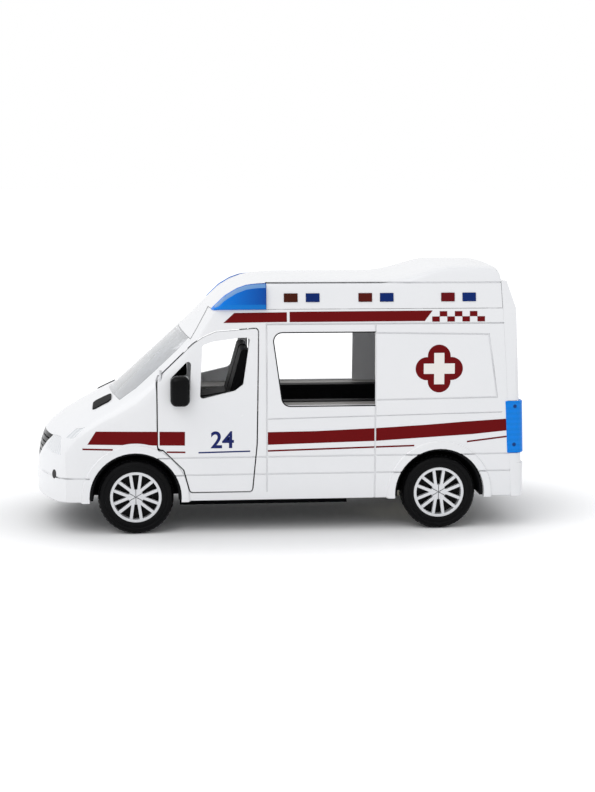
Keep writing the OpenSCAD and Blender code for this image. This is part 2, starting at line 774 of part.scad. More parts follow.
// Rear panel, tail lights and rear doors. The rear form leans with the tail and has round corners.
module rear_plan(t) {
    translate([t, 0]) offset(rear_corner_r - t) offset(-rear_corner_r)
        translate([0, -half_w]) square([body_len, body_w]);
}
module rear_form(t) {
    intersection() {
        front_prism(tail_x - overrun, 0) offset(-t) polygon(section(along(rear_section_share), 0, fine));
        translate([rear_x(0), 0, 0]) rotate([0, rear_lean, 0]) translate([0, 0, -overrun])
            linear_extrude(2 * roof_h) rear_plan(t);
        side_prism(-body_w, body_w) polygon([
            [rear_x(0) + rear_depth, 0], [rear_x(header_z) + rear_depth, header_z],
            [rear_x(header_z) + rear_depth - header_depth, header_z], [rear_x(seam_z), seam_z],
            [tail_x - overrun, seam_z], [tail_x - overrun, 0]
        ]);
    }
}
module rear_opening(grow, depth) {
    translate([rear_x(0), 0, 0]) rotate([0, rear_lean, 0]) translate([-overrun, 0, 0])
        front_prism(0, overrun + depth) offset(grow) translate([-rear_open_half, rear_open_low])
            square([2 * rear_open_half, rear_open_h]);
}
module tail_zone(grow) {
    translate([rear_x(tail_low) - overrun, tail_half - grow, tail_low - grow])
        cube([2 * body_len, half_w, tail_high - tail_low + 2 * grow]);
}
module rear_hinge_axis(side) {
    translate([rear_x(0), side * (rear_open_half + door_gap), 0]) rotate([0, rear_lean, 0]) children();
}
module rear_panel() {
    color("white") difference() {
        union() {
            rear_form(0);
            intersection() {
                translate([tail_x, 0, sill_h]) linear_extrude(bumper_h) rear_plan(0);
                translate([tail_x, -half_w, sill_h]) cube([rear_depth, body_w, bumper_h]);
            }
        }
        rear_opening(0, body_len);
        both_sides() difference() {
            tail_zone(0);
            rear_form(tail_t);
        }
        both_sides() tail_pegs(fit_gap);
        for (side = [-1, 1]) rear_hinge_axis(side) translate([0, 0, rear_open_low - door_gap])
            cylinder(r = knuckle_d / 2 + door_gap, h = rear_open_h + 2 * door_gap);
        rear_door_pins();
    }
}
module tail_pegs(grow) {
    for (s = peg_rows_shares)
        translate([rear_x(tail_low) + tail_t, (half_w + tail_half) / 2, mix(tail_low, tail_high, s)])
            rotate([0, 90, 0]) cylinder(r = peg_r + grow, h = rear_depth / 2 + grow);
}
module tail_light(side) {
    color("dodgerblue", 0.8) on_side(side) {
        difference() {
            intersection() {
                rear_form(0);
                tail_zone(-fit_gap);
            }
            rear_form(tail_t);
        }
        tail_pegs(0);
    }
}
module tail_light_left() { tail_light(1); }
module tail_light_right() { tail_light(-1); }
module rear_door(side) {
    color("white") on_side(side) {
        difference() {
            union() {
                translate([rear_x(0), 0, 0]) rotate([0, rear_lean, 0]) difference() {
                    translate([0, door_gap / 2, rear_open_low + door_gap])
                        cube([rear_door_t, rear_open_half - 1.5 * door_gap, rear_open_h - 2 * door_gap]);
                    rear_window();
                }
                translate([rear_x(0), 0, 0]) rotate([0, rear_lean, 0]) rear_handle();
                rear_knuckles();
            }
            rear_hinge_axis(1) cylinder(r = pin_d / 2 + run_gap, h = 2 * roof_h);
        }
    }
}
module rear_window() {
    low = rear_window_shares[0];
    high = rear_window_shares[1];
    translate([-overrun, 0, 0]) front_prism(0, 2 * overrun + rear_door_t)
        translate([low[0] * rear_open_half, rear_open_low + low[1] * rear_open_h]) rounded(side_window_r)
            square([(high[0] - low[0]) * rear_open_half, (high[1] - low[1]) * rear_open_h]);
}
module rear_handle() {
    y = handle_shares[0] * rear_open_half;
    translate([-handle_out, y, rear_open_low + handle_shares[1] * rear_open_h]) {
        cube([handle_out / 2, handle_w, handle_len]);
        for (z = [0, handle_len - handle_w]) translate([0, 0, z])
            cube([handle_out + rear_door_t / 2, handle_w, handle_w]);
    }
}
module rear_knuckles() {
    rear_hinge_axis(1) for (s = rear_knuckle_shares) translate([0, 0, rear_open_low + s[0] * rear_open_h]) {
        cylinder(d = knuckle_d, h = (s[1] - s[0]) * rear_open_h);
        translate([0, -knuckle_d, 0]) cube([knuckle_d / 2, knuckle_d, (s[1] - s[0]) * rear_open_h]);
    }
}
module rear_door_left() { rear_door(1); }
module rear_door_right() { rear_door(-1); }
module rear_door_pins() {
    color("silver") for (side = [-1, 1]) rear_hinge_axis(side)
        translate([0, 0, rear_open_low - pin_seat]) cylinder(d = pin_d, h = rear_open_h + 2 * pin_seat);
}

// Nose pieces.
module grille() {
    low = grille_shares[1][1];
    high = grille_shares[0][1];
    color("black") difference() {
        intersection() {
            skin(wall);
            grille_zone();
        }
        pressed(wall / 2) for (i = [1 : grille_bars])
            translate([half_w, -half_w, roof_h * mix(low, high, i / (grille_bars + 1))])
                cube([nose_x, body_w, groove_w]);
    }
}
module headlight(side) {
    color("gainsboro", 0.7) intersection() {
        skin(wall);
        on_side(side) headlight_zone();
    }
}
module headlight_left() { headlight(1); }
module headlight_right() { headlight(-1); }
module fog_lamps() {
    color("black") intersection() {
        skin(wall);
        fog_zone();
    }
}
module bonnet_vents() {
    color("black") intersection() {
        difference() {
            translate([0, 0, vent_out]) body_form();
            cavity();
        }
        vent_zone();
    }
}

// Front doors with their mirrors and hinge pins.
module front_door(side) {
    color("white") on_side(side) difference() {
        union() {
            intersection() {
                skin();
                side_prism(half_w / 2, body_w) door_outline(0);
            }
            intersection() {
                body_form();
                translate([hinge_x, hinge_y, pin_low + door_gap])
                    cylinder(r = barrel_r, h = pin_high - pin_low - 2 * door_gap, $fn = 2 * round_steps);
            }
        }
        side_prism(half_w / 2, body_w) {
            rounded(window_r) polygon([for (s = door_window_shares) on_door(s)]);
            rounded(window_r) polygon([for (s = quarter_shares) on_door(s)]);
        }
        translate([hinge_x, hinge_y, 0]) cylinder(r = pin_d / 2 + run_gap, h = roof_h, $fn = 2 * round_steps);
        pressed() side_prism(half_w / 2, body_w) side_lines();
    }
}
module front_door_left() { front_door(1); }
module front_door_right() { front_door(-1); }
module mirror_housing(side) {
    low = on_door(mirror_shares[0]);
    high = on_door(mirror_shares[1]);
    r = (high[0] - low[0]) / 3;
    level = mix(belt_z, gutter_z, fine[0][1]) - belt_z;
    color("black") on_side(side) translate([0, half_w, belt_z])
        rotate([atan2(lean_in(belt_z + level), level), 0, 0])
            hull() for (x = [low[0] + r, high[0] - r], z = [low[1] + r, high[1] - r])
                translate([x, 0, z - belt_z]) {
                    translate([0, mirror_out - r, 0]) sphere(r, $fn = 2 * round_steps);
                    rotate([-90, 0, 0]) cylinder(r = r, h = r / 4, $fn = 2 * round_steps);
                }
}
module mirror_left() { mirror_housing(1); }
module mirror_right() { mirror_housing(-1); }
module front_door_pins() {
    color("silver") for (side = [-1, 1]) translate([hinge_x, side * hinge_y, pin_low - pin_seat])
        cylinder(d = pin_d, h = pin_high - pin_low + 2 * pin_seat);
}

// Cabin.
module channel(x0, x1) {
    front_prism(x0, x1) difference() {
        translate([-aisle_w / 2 - floor_t, floor_z - floor_t])
            square([aisle_w + 2 * floor_t, bench_z - bench_t - floor_z + floor_t]);
        translate([-aisle_w / 2, floor_z]) square([aisle_w, roof_h]);
    }
}
module screw_places() {
    for (s = post_shares, side = [-1, 1]) translate([along(s[0]), side * s[1] * half_w, 0]) children();
}
module cabin_floor() {
    flange_z = bench_z - bench_t;
    color("black") difference() {
        union() {
            channel(cabin_rear, cabin_front);
            for (side = [0, 1]) mirror([0, side, 0])
                translate([cabin_rear, aisle_w / 2, flange_z - floor_t])
                    cube([flange_front - cabin_rear, ledge_half - aisle_w / 2, floor_t]);
            intersection() {
                screw_places() translate([0, 0, deck_top])
                    cylinder(r = post_r, h = flange_z - floor_t / 2 - deck_top);
                union() {
                    translate([tail_x, -half_w, 0]) cube([body_len, body_w, floor_z - floor_t / 2]);
                    for (side = [0, 1]) mirror([0, side, 0]) translate([tail_x, aisle_w / 2, 0])
                        cube([body_len, half_w, roof_h]);
                }
            }
        }
        screw_places() translate([0, 0, deck_top - overrun])
            cylinder(d = screw_d + 2 * run_gap, h = screw_len + overrun);
    }
}
module side_bench(side) {
    color("gray") on_side(side) translate([cabin_rear, aisle_w / 2, bench_z - bench_t])
        cube([dash_x - fit_gap - cabin_rear, ledge_half - aisle_w / 2, bench_t]);
}
module side_bench_left() { side_bench(1); }
module side_bench_right() { side_bench(-1); }
module cab_seats() {
    color("black") for (y = [-steer_y, steer_y]) side_prism(y - seat_w / 2, y + seat_w / 2)
        translate([seat_x, floor_z]) rounded(seat_r)
            polygon([for (s = seat_shares) [s[0] * seat_len, s[1] * seat_h]]);
}
module dashboard() {
    color("dimgray") {
        translate([dash_x, -aisle_w / 2 + fit_gap, floor_z])
            cube([dash_len, aisle_w - 2 * fit_gap, bench_z - floor_z]);
        side_prism(-dash_half, dash_half) translate([dash_x, bench_z - fit_gap])
            polygon([[0, 0], [0, dash_h / 2], [dash_len / 4, dash_h], [dash_len, dash_h / 2], [dash_len, 0]]);
    }
}
module steering_wheel() {
    color("black") difference() {
        translate([dash_x - steer_d / 3, steer_y, bench_z + dash_h]) rotate([0, -steer_tilt, 0]) {
            rotate_extrude() translate([steer_d / 2 - steer_r, 0]) circle(steer_r);
            cylinder(r = 2 * steer_r, h = 1.6 * steer_r, center = true);
            for (a = [90, 210, 330]) rotate(a) translate([0, -steer_r / 2, -steer_r / 2])
                cube([steer_d / 2 - steer_r, steer_r, steer_r]);
            translate([0, 0, -steer_d / 2]) cylinder(r = steer_r, h = steer_d / 2);
        }
        translate([dash_x, 0, 0]) cube([dash_len, half_w, roof_h]);
    }
}

// Chassis with wheel wells, front bearings, belly tray and drive opening.
module well_place() {
    for (x = [front_axle_x, rear_axle_x], side = [0, 1])
        mirror([0, side, 0]) translate([x, 0, axle_z]) children();
}
module well_drum(r, y0, y1) { translate([0, y1, 0]) rotate([90, 0, 0]) cylinder(r = r, h = y1 - y0); }
module deck_plan() {
    rear = rear_x(sill_h) + rear_depth + fit_gap;
    rounded(2 * corner_blend) intersection() {
        translate([rear, -deck_half]) square([body_len, 2 * deck_half]);
        translate([nose_x - nose_r - 2 * wall, 0]) circle(nose_r);
    }
    translate([rear, -deck_half]) square([body_len / 2, 2 * deck_half]);
}
module chassis() {
    color([0.08, 0.08, 0.09]) difference() {
        union() {
            translate([0, 0, deck_z]) linear_extrude(deck_t) deck_plan();
            translate([belly_x, -belly_half, belly_z])
                cube([belly_len, 2 * belly_half, deck_z - belly_z + deck_t / 2]);
            well_place() intersection() {
                well_drum(well_r, well_y - well_t, deck_half);
                translate([-body_len, 0, deck_z - axle_z]) cube([2 * body_len, body_w, body_w]);
            }
            for (s = tab_shares, side = [-1, 1])
                translate([along(s), side * (half_w - wall - tab_w / 2), deck_z + deck_t / 2])
                    cube([2 * tab_w, tab_w, deck_t], center = true);
            for (side = [-1, 1]) translate([front_axle_x, side * (well_y - well_t - bearing_w / 2), axle_z])
                cube([2 * bearing_half, bearing_w, 2 * bearing_half], center = true);
        }
        well_place() {
            well_drum(well_r - well_t, well_y, body_w);
            well_drum(axle_d, well_y - 2 * well_t, well_y + overrun);
        }
        translate([front_axle_x, body_w, axle_z]) rotate([90, 0, 0])
            cylinder(d = axle_d + 2 * run_gap, h = 2 * body_w);
        translate([front_axle_x - axle_d, -(well_y - well_t - bearing_w), axle_z - axle_d])
            cube([2 * axle_d, 2 * (well_y - well_t - bearing_w), 2 * axle_d]);
        translate([case_rear - fit_gap, case_right - fit_gap, 0])
            cube([case_front - case_rear + 2 * fit_gap, case_left - case_right + 2 * fit_gap, roof_h]);
        translate([rear_axle_x - axle_d, -(well_y - well_t), deck_z - overrun])
            cube([2 * axle_d, 2 * (well_y - well_t), 2 * overrun]);
        belly_hollow();
        screw_places() translate([0, 0, deck_z - overrun])
            cylinder(d = screw_d + 4 * run_gap, h = 2 * overrun);
    }
}
module belly_hollow() {
    inner = belly_half - belly_t;
    slot = switch_knob + switch_travel + 2 * fit_gap;
    translate([belly_x + belly_t, -inner, belly_z + belly_t])
        cube([belly_len - 2 * belly_t, 2 * inner, roof_h]);
    translate([cover_x - fit_gap, -cover_half - fit_gap, belly_z - overrun])
        cube([cover_len + 2 * fit_gap, 2 * (cover_half + fit_gap), overrun + belly_t]);
    translate([switch_x, 0, belly_z]) cube([switch_knob + 2 * fit_gap, slot, 2 * overrun], center = true);
    for (a = [0 : 60 : 300]) translate([speaker_x, 0, belly_z]) rotate(a) translate([speaker_d / 5, 0, 0])
        cylinder(d = speaker_d / 12, h = 2 * overrun, center = true);
}
module chassis_screws() {
    color("silver") screw_places() {
        translate([0, 0, deck_z - screw_head_t]) cylinder(d = screw_head_d, h = screw_head_t);
        translate([0, 0, deck_z - screw_head_t / 2]) cylinder(d = screw_d, h = screw_len - deck_t);
    }
}

// Wheels: a black tyre with its web, a silver spoked rim, and a steel axle.
module wheel_place(x, side) {
    translate([x, side * wheel_face_y, axle_z]) rotate([side * 90, 0, 0]) children();
}
module tyre(x, side) {
    r = tyre_d / 2;
    lip = tyre_w / 6;
    color([0.1, 0.1, 0.11]) wheel_place(x, side) difference() {
        rotate_extrude() difference() {
            union() {
                translate([0, lip]) square([r, tyre_w - 2 * lip]);
                square([r - lip, tyre_w]);
                for (z = [lip, tyre_w - lip]) translate([r - lip, z]) circle(lip);
            }
            for (i = [1 : 3]) translate([r, i * tyre_w / 4]) circle(lip / 5);
            square([rim_d / 2, 2 * rim_t]);
            translate([0, tyre_w - 2 * rim_t]) difference() {
                square([rim_d / 2, 3 * rim_t]);
                square([axle_d, 3 * rim_t]);
            }
        }
        cylinder(d = axle_d, h = 2 * tyre_w);
    }
}
module rim(x, side) {
    r = rim_d / 2 - fit_gap / 2;
    arm_w = rim_d * 0.06;
    color("silver") wheel_place(x, side) translate([0, 0, rim_t / 4]) {
        linear_extrude(2 * rim_t - rim_t / 4) difference() {
            circle(r);
            circle(r * 0.89);
        }
        translate([0, 0, rim_t / 4]) linear_extrude(rim_t) difference() {
            union() {
                circle(r * 0.3);
                for (i = [0 : 5], s = [-1, 1]) rotate(60 * i) rim_arm(r, arm_w, s);
            }
            for (i = [0 : 5]) rotate(60 * i + 30) translate([0, -arm_w / 10]) square([r * 0.4, arm_w / 5]);
        }
        translate([0, 0, rim_t]) cylinder(r = r * 0.25, h = rim_t * 0.75);
    }
}
module rim_arm(r, w, s) {
    from = [r * 0.2, 0];
    to = [r * 0.94 * cos(17.5), s * r * 0.94 * sin(17.5)];
    d = to - from;
    translate(from) rotate(atan2(d[1], d[0])) translate([0, -w / 2]) square([norm(d), w]);
}
module front_tyre_left() { tyre(front_axle_x, 1); }
module front_tyre_right() { tyre(front_axle_x, -1); }
module rear_tyre_left() { tyre(rear_axle_x, 1); }
module rear_tyre_right() { tyre(rear_axle_x, -1); }
module front_rim_left() { rim(front_axle_x, 1); }
module front_rim_right() { rim(front_axle_x, -1); }
module rear_rim_left() { rim(rear_axle_x, 1); }
module rear_rim_right() { rim(rear_axle_x, -1); }
module axle(x) {
    half = wheel_face_y - 2 * rim_t - fit_gap;
    color("silver") translate([x, half, axle_z]) rotate([90, 0, 0]) cylinder(d = axle_d, h = 2 * half);
}
module front_axle() { axle(front_axle_x); }
module rear_axle() { axle(rear_axle_x); }

// Drive gears with involute teeth.
function involute(rb, a) =
    [rb * (cos(a) + a * PI / 180 * sin(a)), rb * (sin(a) - a * PI / 180 * cos(a))];
function turned(p, a) = [p[0] * cos(a) - p[1] * sin(a), p[0] * sin(a) + p[1] * cos(a)];
function roll(rb, r) = sqrt(max(pow(r / rb, 2) - 1, 0)) * 180 / PI;
function gear_points(teeth) =
    let (
        r = gear_m * teeth / 2,
        rb = r * cos(20),
        rt = r + gear_m * 0.9,
        rr = r - gear_m * 1.2,
        a = roll(rb, r),
        p = involute(rb, a),
        half = 90 / teeth - gear_play / r * 90 / PI + atan2(p[1], p[0]),
        flank = [for (i = [0 : 3]) involute(rb, mix(roll(rb, max(rr, rb)), roll(rb, rt), i / 3))]
    )
    [for (i = [0 : teeth - 1]) each concat(
        [turned([rr, 0], 360 * i / teeth - half)],
        [for (q = flank) turned(q, 360 * i / teeth - half)],
        [for (k = [3 : -1 : 0]) turned([flank[k][0], -flank[k][1]], 360 * i / teeth + half)],
        [turned([rr, 0], 360 * i / teeth + half)]
    )];
module gear(x, z, y0, t, teeth, angle, bore) {
    translate([x, y0 + t, z]) rotate([90, 0, 0]) difference() {
        linear_extrude(t) rotate(angle) polygon(gear_points(teeth));
        translate([0, 0, -overrun]) cylinder(d = bore, h = t + 2 * overrun);
    }
}
module axle_gear() {
    color("ivory") gear(rear_axle_x, axle_z, 0, gear_t, big_teeth, first_angle, axle_d);
}
module compound_gear() {
    first = first_angle + 180 + 180 / small_teeth;
    color("ivory") {
        gear(mid_x, mid_z, -gear_gap, gear_t + gear_gap, small_teeth, first, 0);
        gear(mid_x, mid_z, -gear_gap - gear_t, gear_t, big_teeth, second_angle, 0);
        translate([mid_x, case_split + case_wall, mid_z]) rotate([90, 0, 0])
            cylinder(d = shaft_d, h = case_split + case_wall - case_right);
    }
}
module flywheel_shaft() {
    first = second_angle + 180 + 180 / small_teeth;
    color("silver") {
        gear(fly_x, fly_z, -gear_gap - gear_t, gear_t, small_teeth, first, 0);
        translate([fly_x, case_left, fly_z]) rotate([90, 0, 0])
            cylinder(d = shaft_d, h = case_left - case_right);
    }
}
module flywheel() {
    y = case_left - case_wall - gear_gap;
    color("dimgray") translate([fly_x, y, fly_z]) rotate([90, 0, 0]) difference() {
        cylinder(d = flywheel_d, h = flywheel_t);
        translate([0, 0, -overrun]) cylinder(d = shaft_d, h = flywheel_t + 2 * overrun);
    }
}
module case_outline(grow) {
    hull() {
        translate([rear_axle_x, axle_z]) circle(big_r + gear_m + gear_gap + grow);
        translate([mid_x, mid_z]) circle(big_r + gear_m + gear_gap + grow);
        translate([fly_x, fly_z]) circle(flywheel_d / 2 + gear_gap + grow);
    }
}
module case_bores() {
    translate([rear_axle_x, body_w, axle_z]) rotate([90, 0, 0])
        cylinder(d = axle_d + 2 * run_gap, h = 2 * body_w);
    for (p = [[mid_x, mid_z], [fly_x, fly_z]]) translate([p[0], body_w, p[1]]) rotate([90, 0, 0])
        cylinder(d = shaft_d + 2 * run_gap, h = 2 * body_w);
}
module case_lugs(y0, y1) {
    translate([case_rear - lug_w, y0, deck_top])
        cube([case_front - case_rear + 2 * lug_w, y1 - y0, lug_t]);
}
module motor_case_left() {
    color("white") difference() {
        union() {
            side_prism(case_split, case_left) case_outline(case_wall);
            case_lugs(case_split, case_left);
        }
        side_prism(case_split + case_wall, case_left - case_wall) case_outline(0);
        case_bores();
    }
}
module motor_case_right() {
    color("white") difference() {
        union() {
            side_prism(case_right, case_split) case_outline(case_wall);
            case_lugs(case_right, case_split);
        }
        side_prism(case_right + case_wall, case_split + overrun) case_outline(0);
        case_bores();
    }
}

// Electrics in the belly tray.
module battery_cells() {
    mid = cover_x + cover_len / 2;
    color("silver") for (i = [-1 : 1]) translate([mid + i * (cell_d + cell_gap), 0, belly_z + belly_t])
        cylinder(d = cell_d, h = cell_t);
}
module battery_cover() {
    color([0.08, 0.08, 0.09]) {
        translate([cover_x, -cover_half, belly_z]) cube([cover_len, 2 * cover_half, belly_t]);
        for (x = [cover_x, cover_x + cover_len]) translate([x - belly_t, -cover_half / 2, belly_z + belly_t])
            cube([2 * belly_t, cover_half, belly_t / 2]);
    }
}
module circuit_board() {
    mid = cover_x + cover_len / 2;
    color("darkgreen") translate([mid - board_len / 2, -board_w / 2, belly_z + belly_t + cell_t])
        cube([board_len, board_w, board_t]);
}
module speaker() {
    color("dimgray") translate([speaker_x, 0, belly_z + belly_t]) cylinder(d = speaker_d, h = speaker_t);
}
module power_switch() {
    color("black") translate([switch_x, 0, belly_z + belly_t]) {
        translate([-switch_len / 2, -switch_w / 2, 1.5 * fit_gap]) cube([switch_len, switch_w, belly_t]);
        translate([-switch_knob / 2, -switch_knob / 2, -belly_t])
            cube([switch_knob, switch_knob, 2 * belly_t]);
    }
}

body_shell();
roof_cap();
rear_panel();
windscreen();
beacon_lens_left();
beacon_lens_right();
tail_light_left();
tail_light_right();
grille();
headlight_left();
headlight_right();
fog_lamps();
bonnet_vents();
marker_lenses_red();
marker_lenses_blue();
front_door_left();
front_door_right();
mirror_left();
mirror_right();
front_door_pins();
rear_door_left();
rear_door_right();
rear_door_pins();
cabin_floor();
side_bench_left();
side_bench_right();
cab_seats();
dashboard();
steering_wheel();
chassis();
front_axle();
rear_axle();
front_tyre_left();
front_tyre_right();
rear_tyre_left();
rear_tyre_right();
front_rim_left();
front_rim_right();
rear_rim_left();
rear_rim_right();
motor_case_left();
motor_case_right();
axle_gear();
compound_gear();
flywheel();
flywheel_shaft();
battery_cells();
battery_cover();
circuit_board();
speaker();
beacon_leds();
power_switch();
chassis_screws();
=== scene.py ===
# Toy ambulance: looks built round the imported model. Metres, +X forward, +Y the van's left, +Z up.
import json
import math

import bmesh
import bpy
from mathutils import Matrix, Vector, kdtree
from mathutils.bvhtree import BVHTree


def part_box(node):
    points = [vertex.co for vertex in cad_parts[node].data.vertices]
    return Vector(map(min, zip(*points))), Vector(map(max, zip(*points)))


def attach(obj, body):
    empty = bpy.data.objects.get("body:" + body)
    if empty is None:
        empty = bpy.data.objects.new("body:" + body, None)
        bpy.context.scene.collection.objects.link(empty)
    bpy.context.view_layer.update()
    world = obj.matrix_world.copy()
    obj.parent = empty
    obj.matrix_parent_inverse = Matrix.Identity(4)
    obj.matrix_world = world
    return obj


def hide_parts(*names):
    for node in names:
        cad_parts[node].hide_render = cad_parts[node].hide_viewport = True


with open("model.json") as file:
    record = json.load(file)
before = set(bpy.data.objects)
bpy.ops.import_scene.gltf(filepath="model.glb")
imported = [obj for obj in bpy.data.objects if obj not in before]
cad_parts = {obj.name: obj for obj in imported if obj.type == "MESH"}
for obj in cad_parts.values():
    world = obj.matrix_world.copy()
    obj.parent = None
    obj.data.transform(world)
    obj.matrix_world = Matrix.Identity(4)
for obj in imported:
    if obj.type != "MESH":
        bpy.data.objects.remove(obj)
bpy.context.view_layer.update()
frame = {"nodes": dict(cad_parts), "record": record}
nodes = frame["nodes"]
record = frame["record"]
bodyOf = {name: body for body, names in record["behaviour"]["bodies"].items() for name in names}
sides = {"left": 1, "right": -1}
mm = 0.001
scene = bpy.context.scene
scene.view_settings.view_transform = "Standard"
print("frame loaded:", len(nodes), "nodes")


# Camera, fitted to the photograph's wheels, seams and roof line.
photoCamera = {"place": (55.36, 737.11, 174.51), "yaw": 5.24, "pitch": 8.8, "roll": 0.15, "lens": 66.36,
               "sensor": 36, "clip": (0.01, 20)}


def makeCamera(view):
    yaw, pitch, roll = (math.radians(view[key]) for key in ("yaw", "pitch", "roll"))
    level = Vector((-math.sin(yaw), -math.cos(yaw), 0))
    forward = level * math.cos(pitch) - Vector((0, 0, math.sin(pitch)))
    right = forward.cross(Vector((0, 0, 1))).normalized()
    up = right.cross(forward)
    across = math.cos(roll) * right + math.sin(roll) * up
    upward = math.cos(roll) * up - math.sin(roll) * right
    axes = Matrix((across, upward, -forward)).transposed().to_4x4()
    data = bpy.data.cameras.new("photoCamera")
    data.lens, data.sensor_width = view["lens"], view["sensor"]
    data.clip_start, data.clip_end = view["clip"]
    camera = bpy.data.objects.new("photoCamera", data)
    camera.matrix_world = Matrix.Translation(Vector(view["place"]) * mm) @ axes
    scene.collection.objects.link(camera)
    scene.camera = camera


makeCamera(photoCamera)
print("camera set")


# Materials
def linear(hexColour):
    parts = [int(hexColour[i:i + 2], 16) / 255 for i in (1, 3, 5)]
    return tuple(c / 12.92 if c <= 0.04045 else ((c + 0.055) / 1.055) ** 2.4 for c in parts) + (1,)


def addNode(tree, kind, links=None, **settings):
    node = tree.nodes.new(kind)
    for name, value in settings.items():
        setattr(node, name, value)
    for socket, value in (links or {}).items():
        if isinstance(value, bpy.types.NodeSocket):
            tree.links.new(value, node.inputs[socket])
        else:
            node.inputs[socket].default_value = value
    return node


def perMm(size):  # texture scale for a feature of that many millimetres
    return 1 / (size * mm)


waveScale = math.pi / 10  # the wave texture then makes one rib in each unit
# Sizes in millimetres and strengths that the materials share.
relief = {"mottle": 35, "softEdge": 0.25, "grainBump": 0.5, "ribBump": 0.5, "lineBump": 0.4,
          "lineDepth": 0.01, "lineStretch": (1, 0.05, 1), "lineGloss": (0.7, 1.4)}


def startMaterial(name, **sockets):
    material = bpy.data.materials.new(name)
    material.use_nodes = True
    tree = material.node_tree
    shader = tree.nodes["Principled BSDF"]
    for socket, value in sockets.items():
        shader.inputs[socket.replace("_", " ")].default_value = value
    place = addNode(tree, "ShaderNodeTexCoord").outputs["Object"]
    return material, tree, shader, place


def alongX(tree, place, ends):  # goes from 0 to 1 between two places along X, in millimetres
    split = addNode(tree, "ShaderNodeSeparateXYZ", {"Vector": place})
    run = addNode(tree, "ShaderNodeMapRange",
                  {"Value": split.outputs["X"], "From Min": ends[0] * mm, "From Max": ends[1] * mm})
    return run.outputs["Result"]


def mouldedPlastic(name, colour, shade, grain, depth, smooth, rough, ends=None, **sockets):
    # Colour wanders slowly between two shades, or goes from one to the other between two places along X,
    # and a fine grain breaks up the highlight. Grain and depth are in millimetres, and the grain is coarser
    # than the real one, so that it shows. Roughness lies between smooth and rough.
    material, tree, shader, place = startMaterial(name, **sockets)
    if ends:
        blend = alongX(tree, place, ends)
    else:
        mottle = addNode(tree, "ShaderNodeTexNoise",
                         {"Vector": place, "Scale": perMm(relief["mottle"]), "Detail": 3})
        blend = mottle.outputs["Fac"]
    # Sockets 6 and 7 of a colour mix are its colours, and output 2 is the mixed one.
    tint = addNode(tree, "ShaderNodeMix", {0: blend, 6: linear(colour), 7: linear(shade)}, data_type="RGBA")
    tree.links.new(tint.outputs[2], shader.inputs["Base Color"])
    speck = addNode(tree, "ShaderNodeTexNoise", {"Vector": place, "Scale": perMm(grain), "Detail": 4})
    gloss = addNode(tree, "ShaderNodeMapRange",
                    {"Value": speck.outputs["Fac"], "To Min": smooth, "To Max": rough})
    tree.links.new(gloss.outputs["Result"], shader.inputs["Roughness"])
    edge = addNode(tree, "ShaderNodeBevel", {"Radius": relief["softEdge"] * mm}, samples=4)
    bump = addNode(tree, "ShaderNodeBump",
                   {"Height": speck.outputs["Fac"], "Distance": depth * mm, "Strength": relief["grainBump"],
                    "Normal": edge.outputs["Normal"]})
    tree.links.new(bump.outputs["Normal"], shader.inputs["Normal"])
    return material


# Specular levels are low where the photograph's colour is deep, with little white over it.
# ABS, injection moulded and polished: even white with a clear, slightly wavy shine.
whiteAbs = mouldedPlastic("whiteAbs", "#EFEFF0", "#E9EAEC", 2.5, 0.02, 0.2, 0.3, IOR=1.53)
# ABS, moulded black and polished: deep black with sharp highlights.
blackAbs = mouldedPlastic("blackAbs", "#040405", "#070708", 2.0, 0.015, 0.14, 0.22, IOR=1.53,
                          Specular_IOR_Level=0.09)
# Polypropylene, moulded in a spark-eroded tool: soft grey-black with a fine grain.
blackPolypropylene = mouldedPlastic("blackPolypropylene", "#08080A", "#0E0E11", 0.6, 0.05, 0.5, 0.66,
                                    IOR=1.49, Specular_IOR_Level=0.12)
# Polypropylene in mid grey for the ledges, with the same grain.
greyPolypropylene = mouldedPlastic("greyPolypropylene", "#A6A39F", "#979490", 0.6, 0.05, 0.42, 0.6, IOR=1.49)
# PVC rubber, pressed: near black, dull, with a faint bloom.
tyreRubber = mouldedPlastic("tyreRubber", "#050506", "#08080A", 0.8, 0.05, 0.34, 0.46, IOR=1.5,
                            Specular_IOR_Level=0.09)
# Acetal for the drive's case and gears: milky and satin.
ivoryAcetal = mouldedPlastic("ivoryAcetal", "#E6E1D0", "#DAD4C1", 1.0, 0.03, 0.32, 0.46, IOR=1.48)
# Glass-epoxy board under solder mask: green with a satin film.
greenBoard = mouldedPlastic("greenBoard", "#12532A", "#0E4523", 0.7, 0.03, 0.28, 0.42, IOR=1.5)
# Tampo ink in dark red, thin and slightly duller than the plastic under it.
redInk = mouldedPlastic("redInk", "#721114", "#660D10", 0.9, 0.01, 0.3, 0.42, IOR=1.5,
                        Specular_IOR_Level=0.05)
# Tampo ink in dark blue.
blueInk = mouldedPlastic("blueInk", "#1E2A6A", "#19235C", 0.9, 0.01, 0.3, 0.42, IOR=1.5,
                         Specular_IOR_Level=0.12)
# Tampo ink in white, a touch warmer than the shell.
whiteInk = mouldedPlastic("whiteInk", "#F2EFEA", "#EAE6E0", 0.9, 0.01, 0.32, 0.44, IOR=1.5,
                          Specular_IOR_Level=0.2)
# Polystyrene lamp blocks: red at the rear, going to brown towards the front.
redMarker = mouldedPlastic("redMarker", "#6A0814", "#44190C", 1.5, 0.02, 0.14, 0.24, ends=(-95, -15),
                           IOR=1.59, Specular_IOR_Level=0.06)
# Polystyrene lamp block in dark blue.
blueMarker = mouldedPlastic("blueMarker", "#0C2C72", "#0A2562", 1.5, 0.02, 0.14, 0.24, IOR=1.59,
                            Specular_IOR_Level=0.06)
# Silver lacquer over plastic: a fine metallic flake, brighter where it faces the light.
silverLacquer = mouldedPlastic("silverLacquer", "#DCDDDF", "#CFD0D3", 0.5, 0.02, 0.24, 0.38, Metallic=0.5)


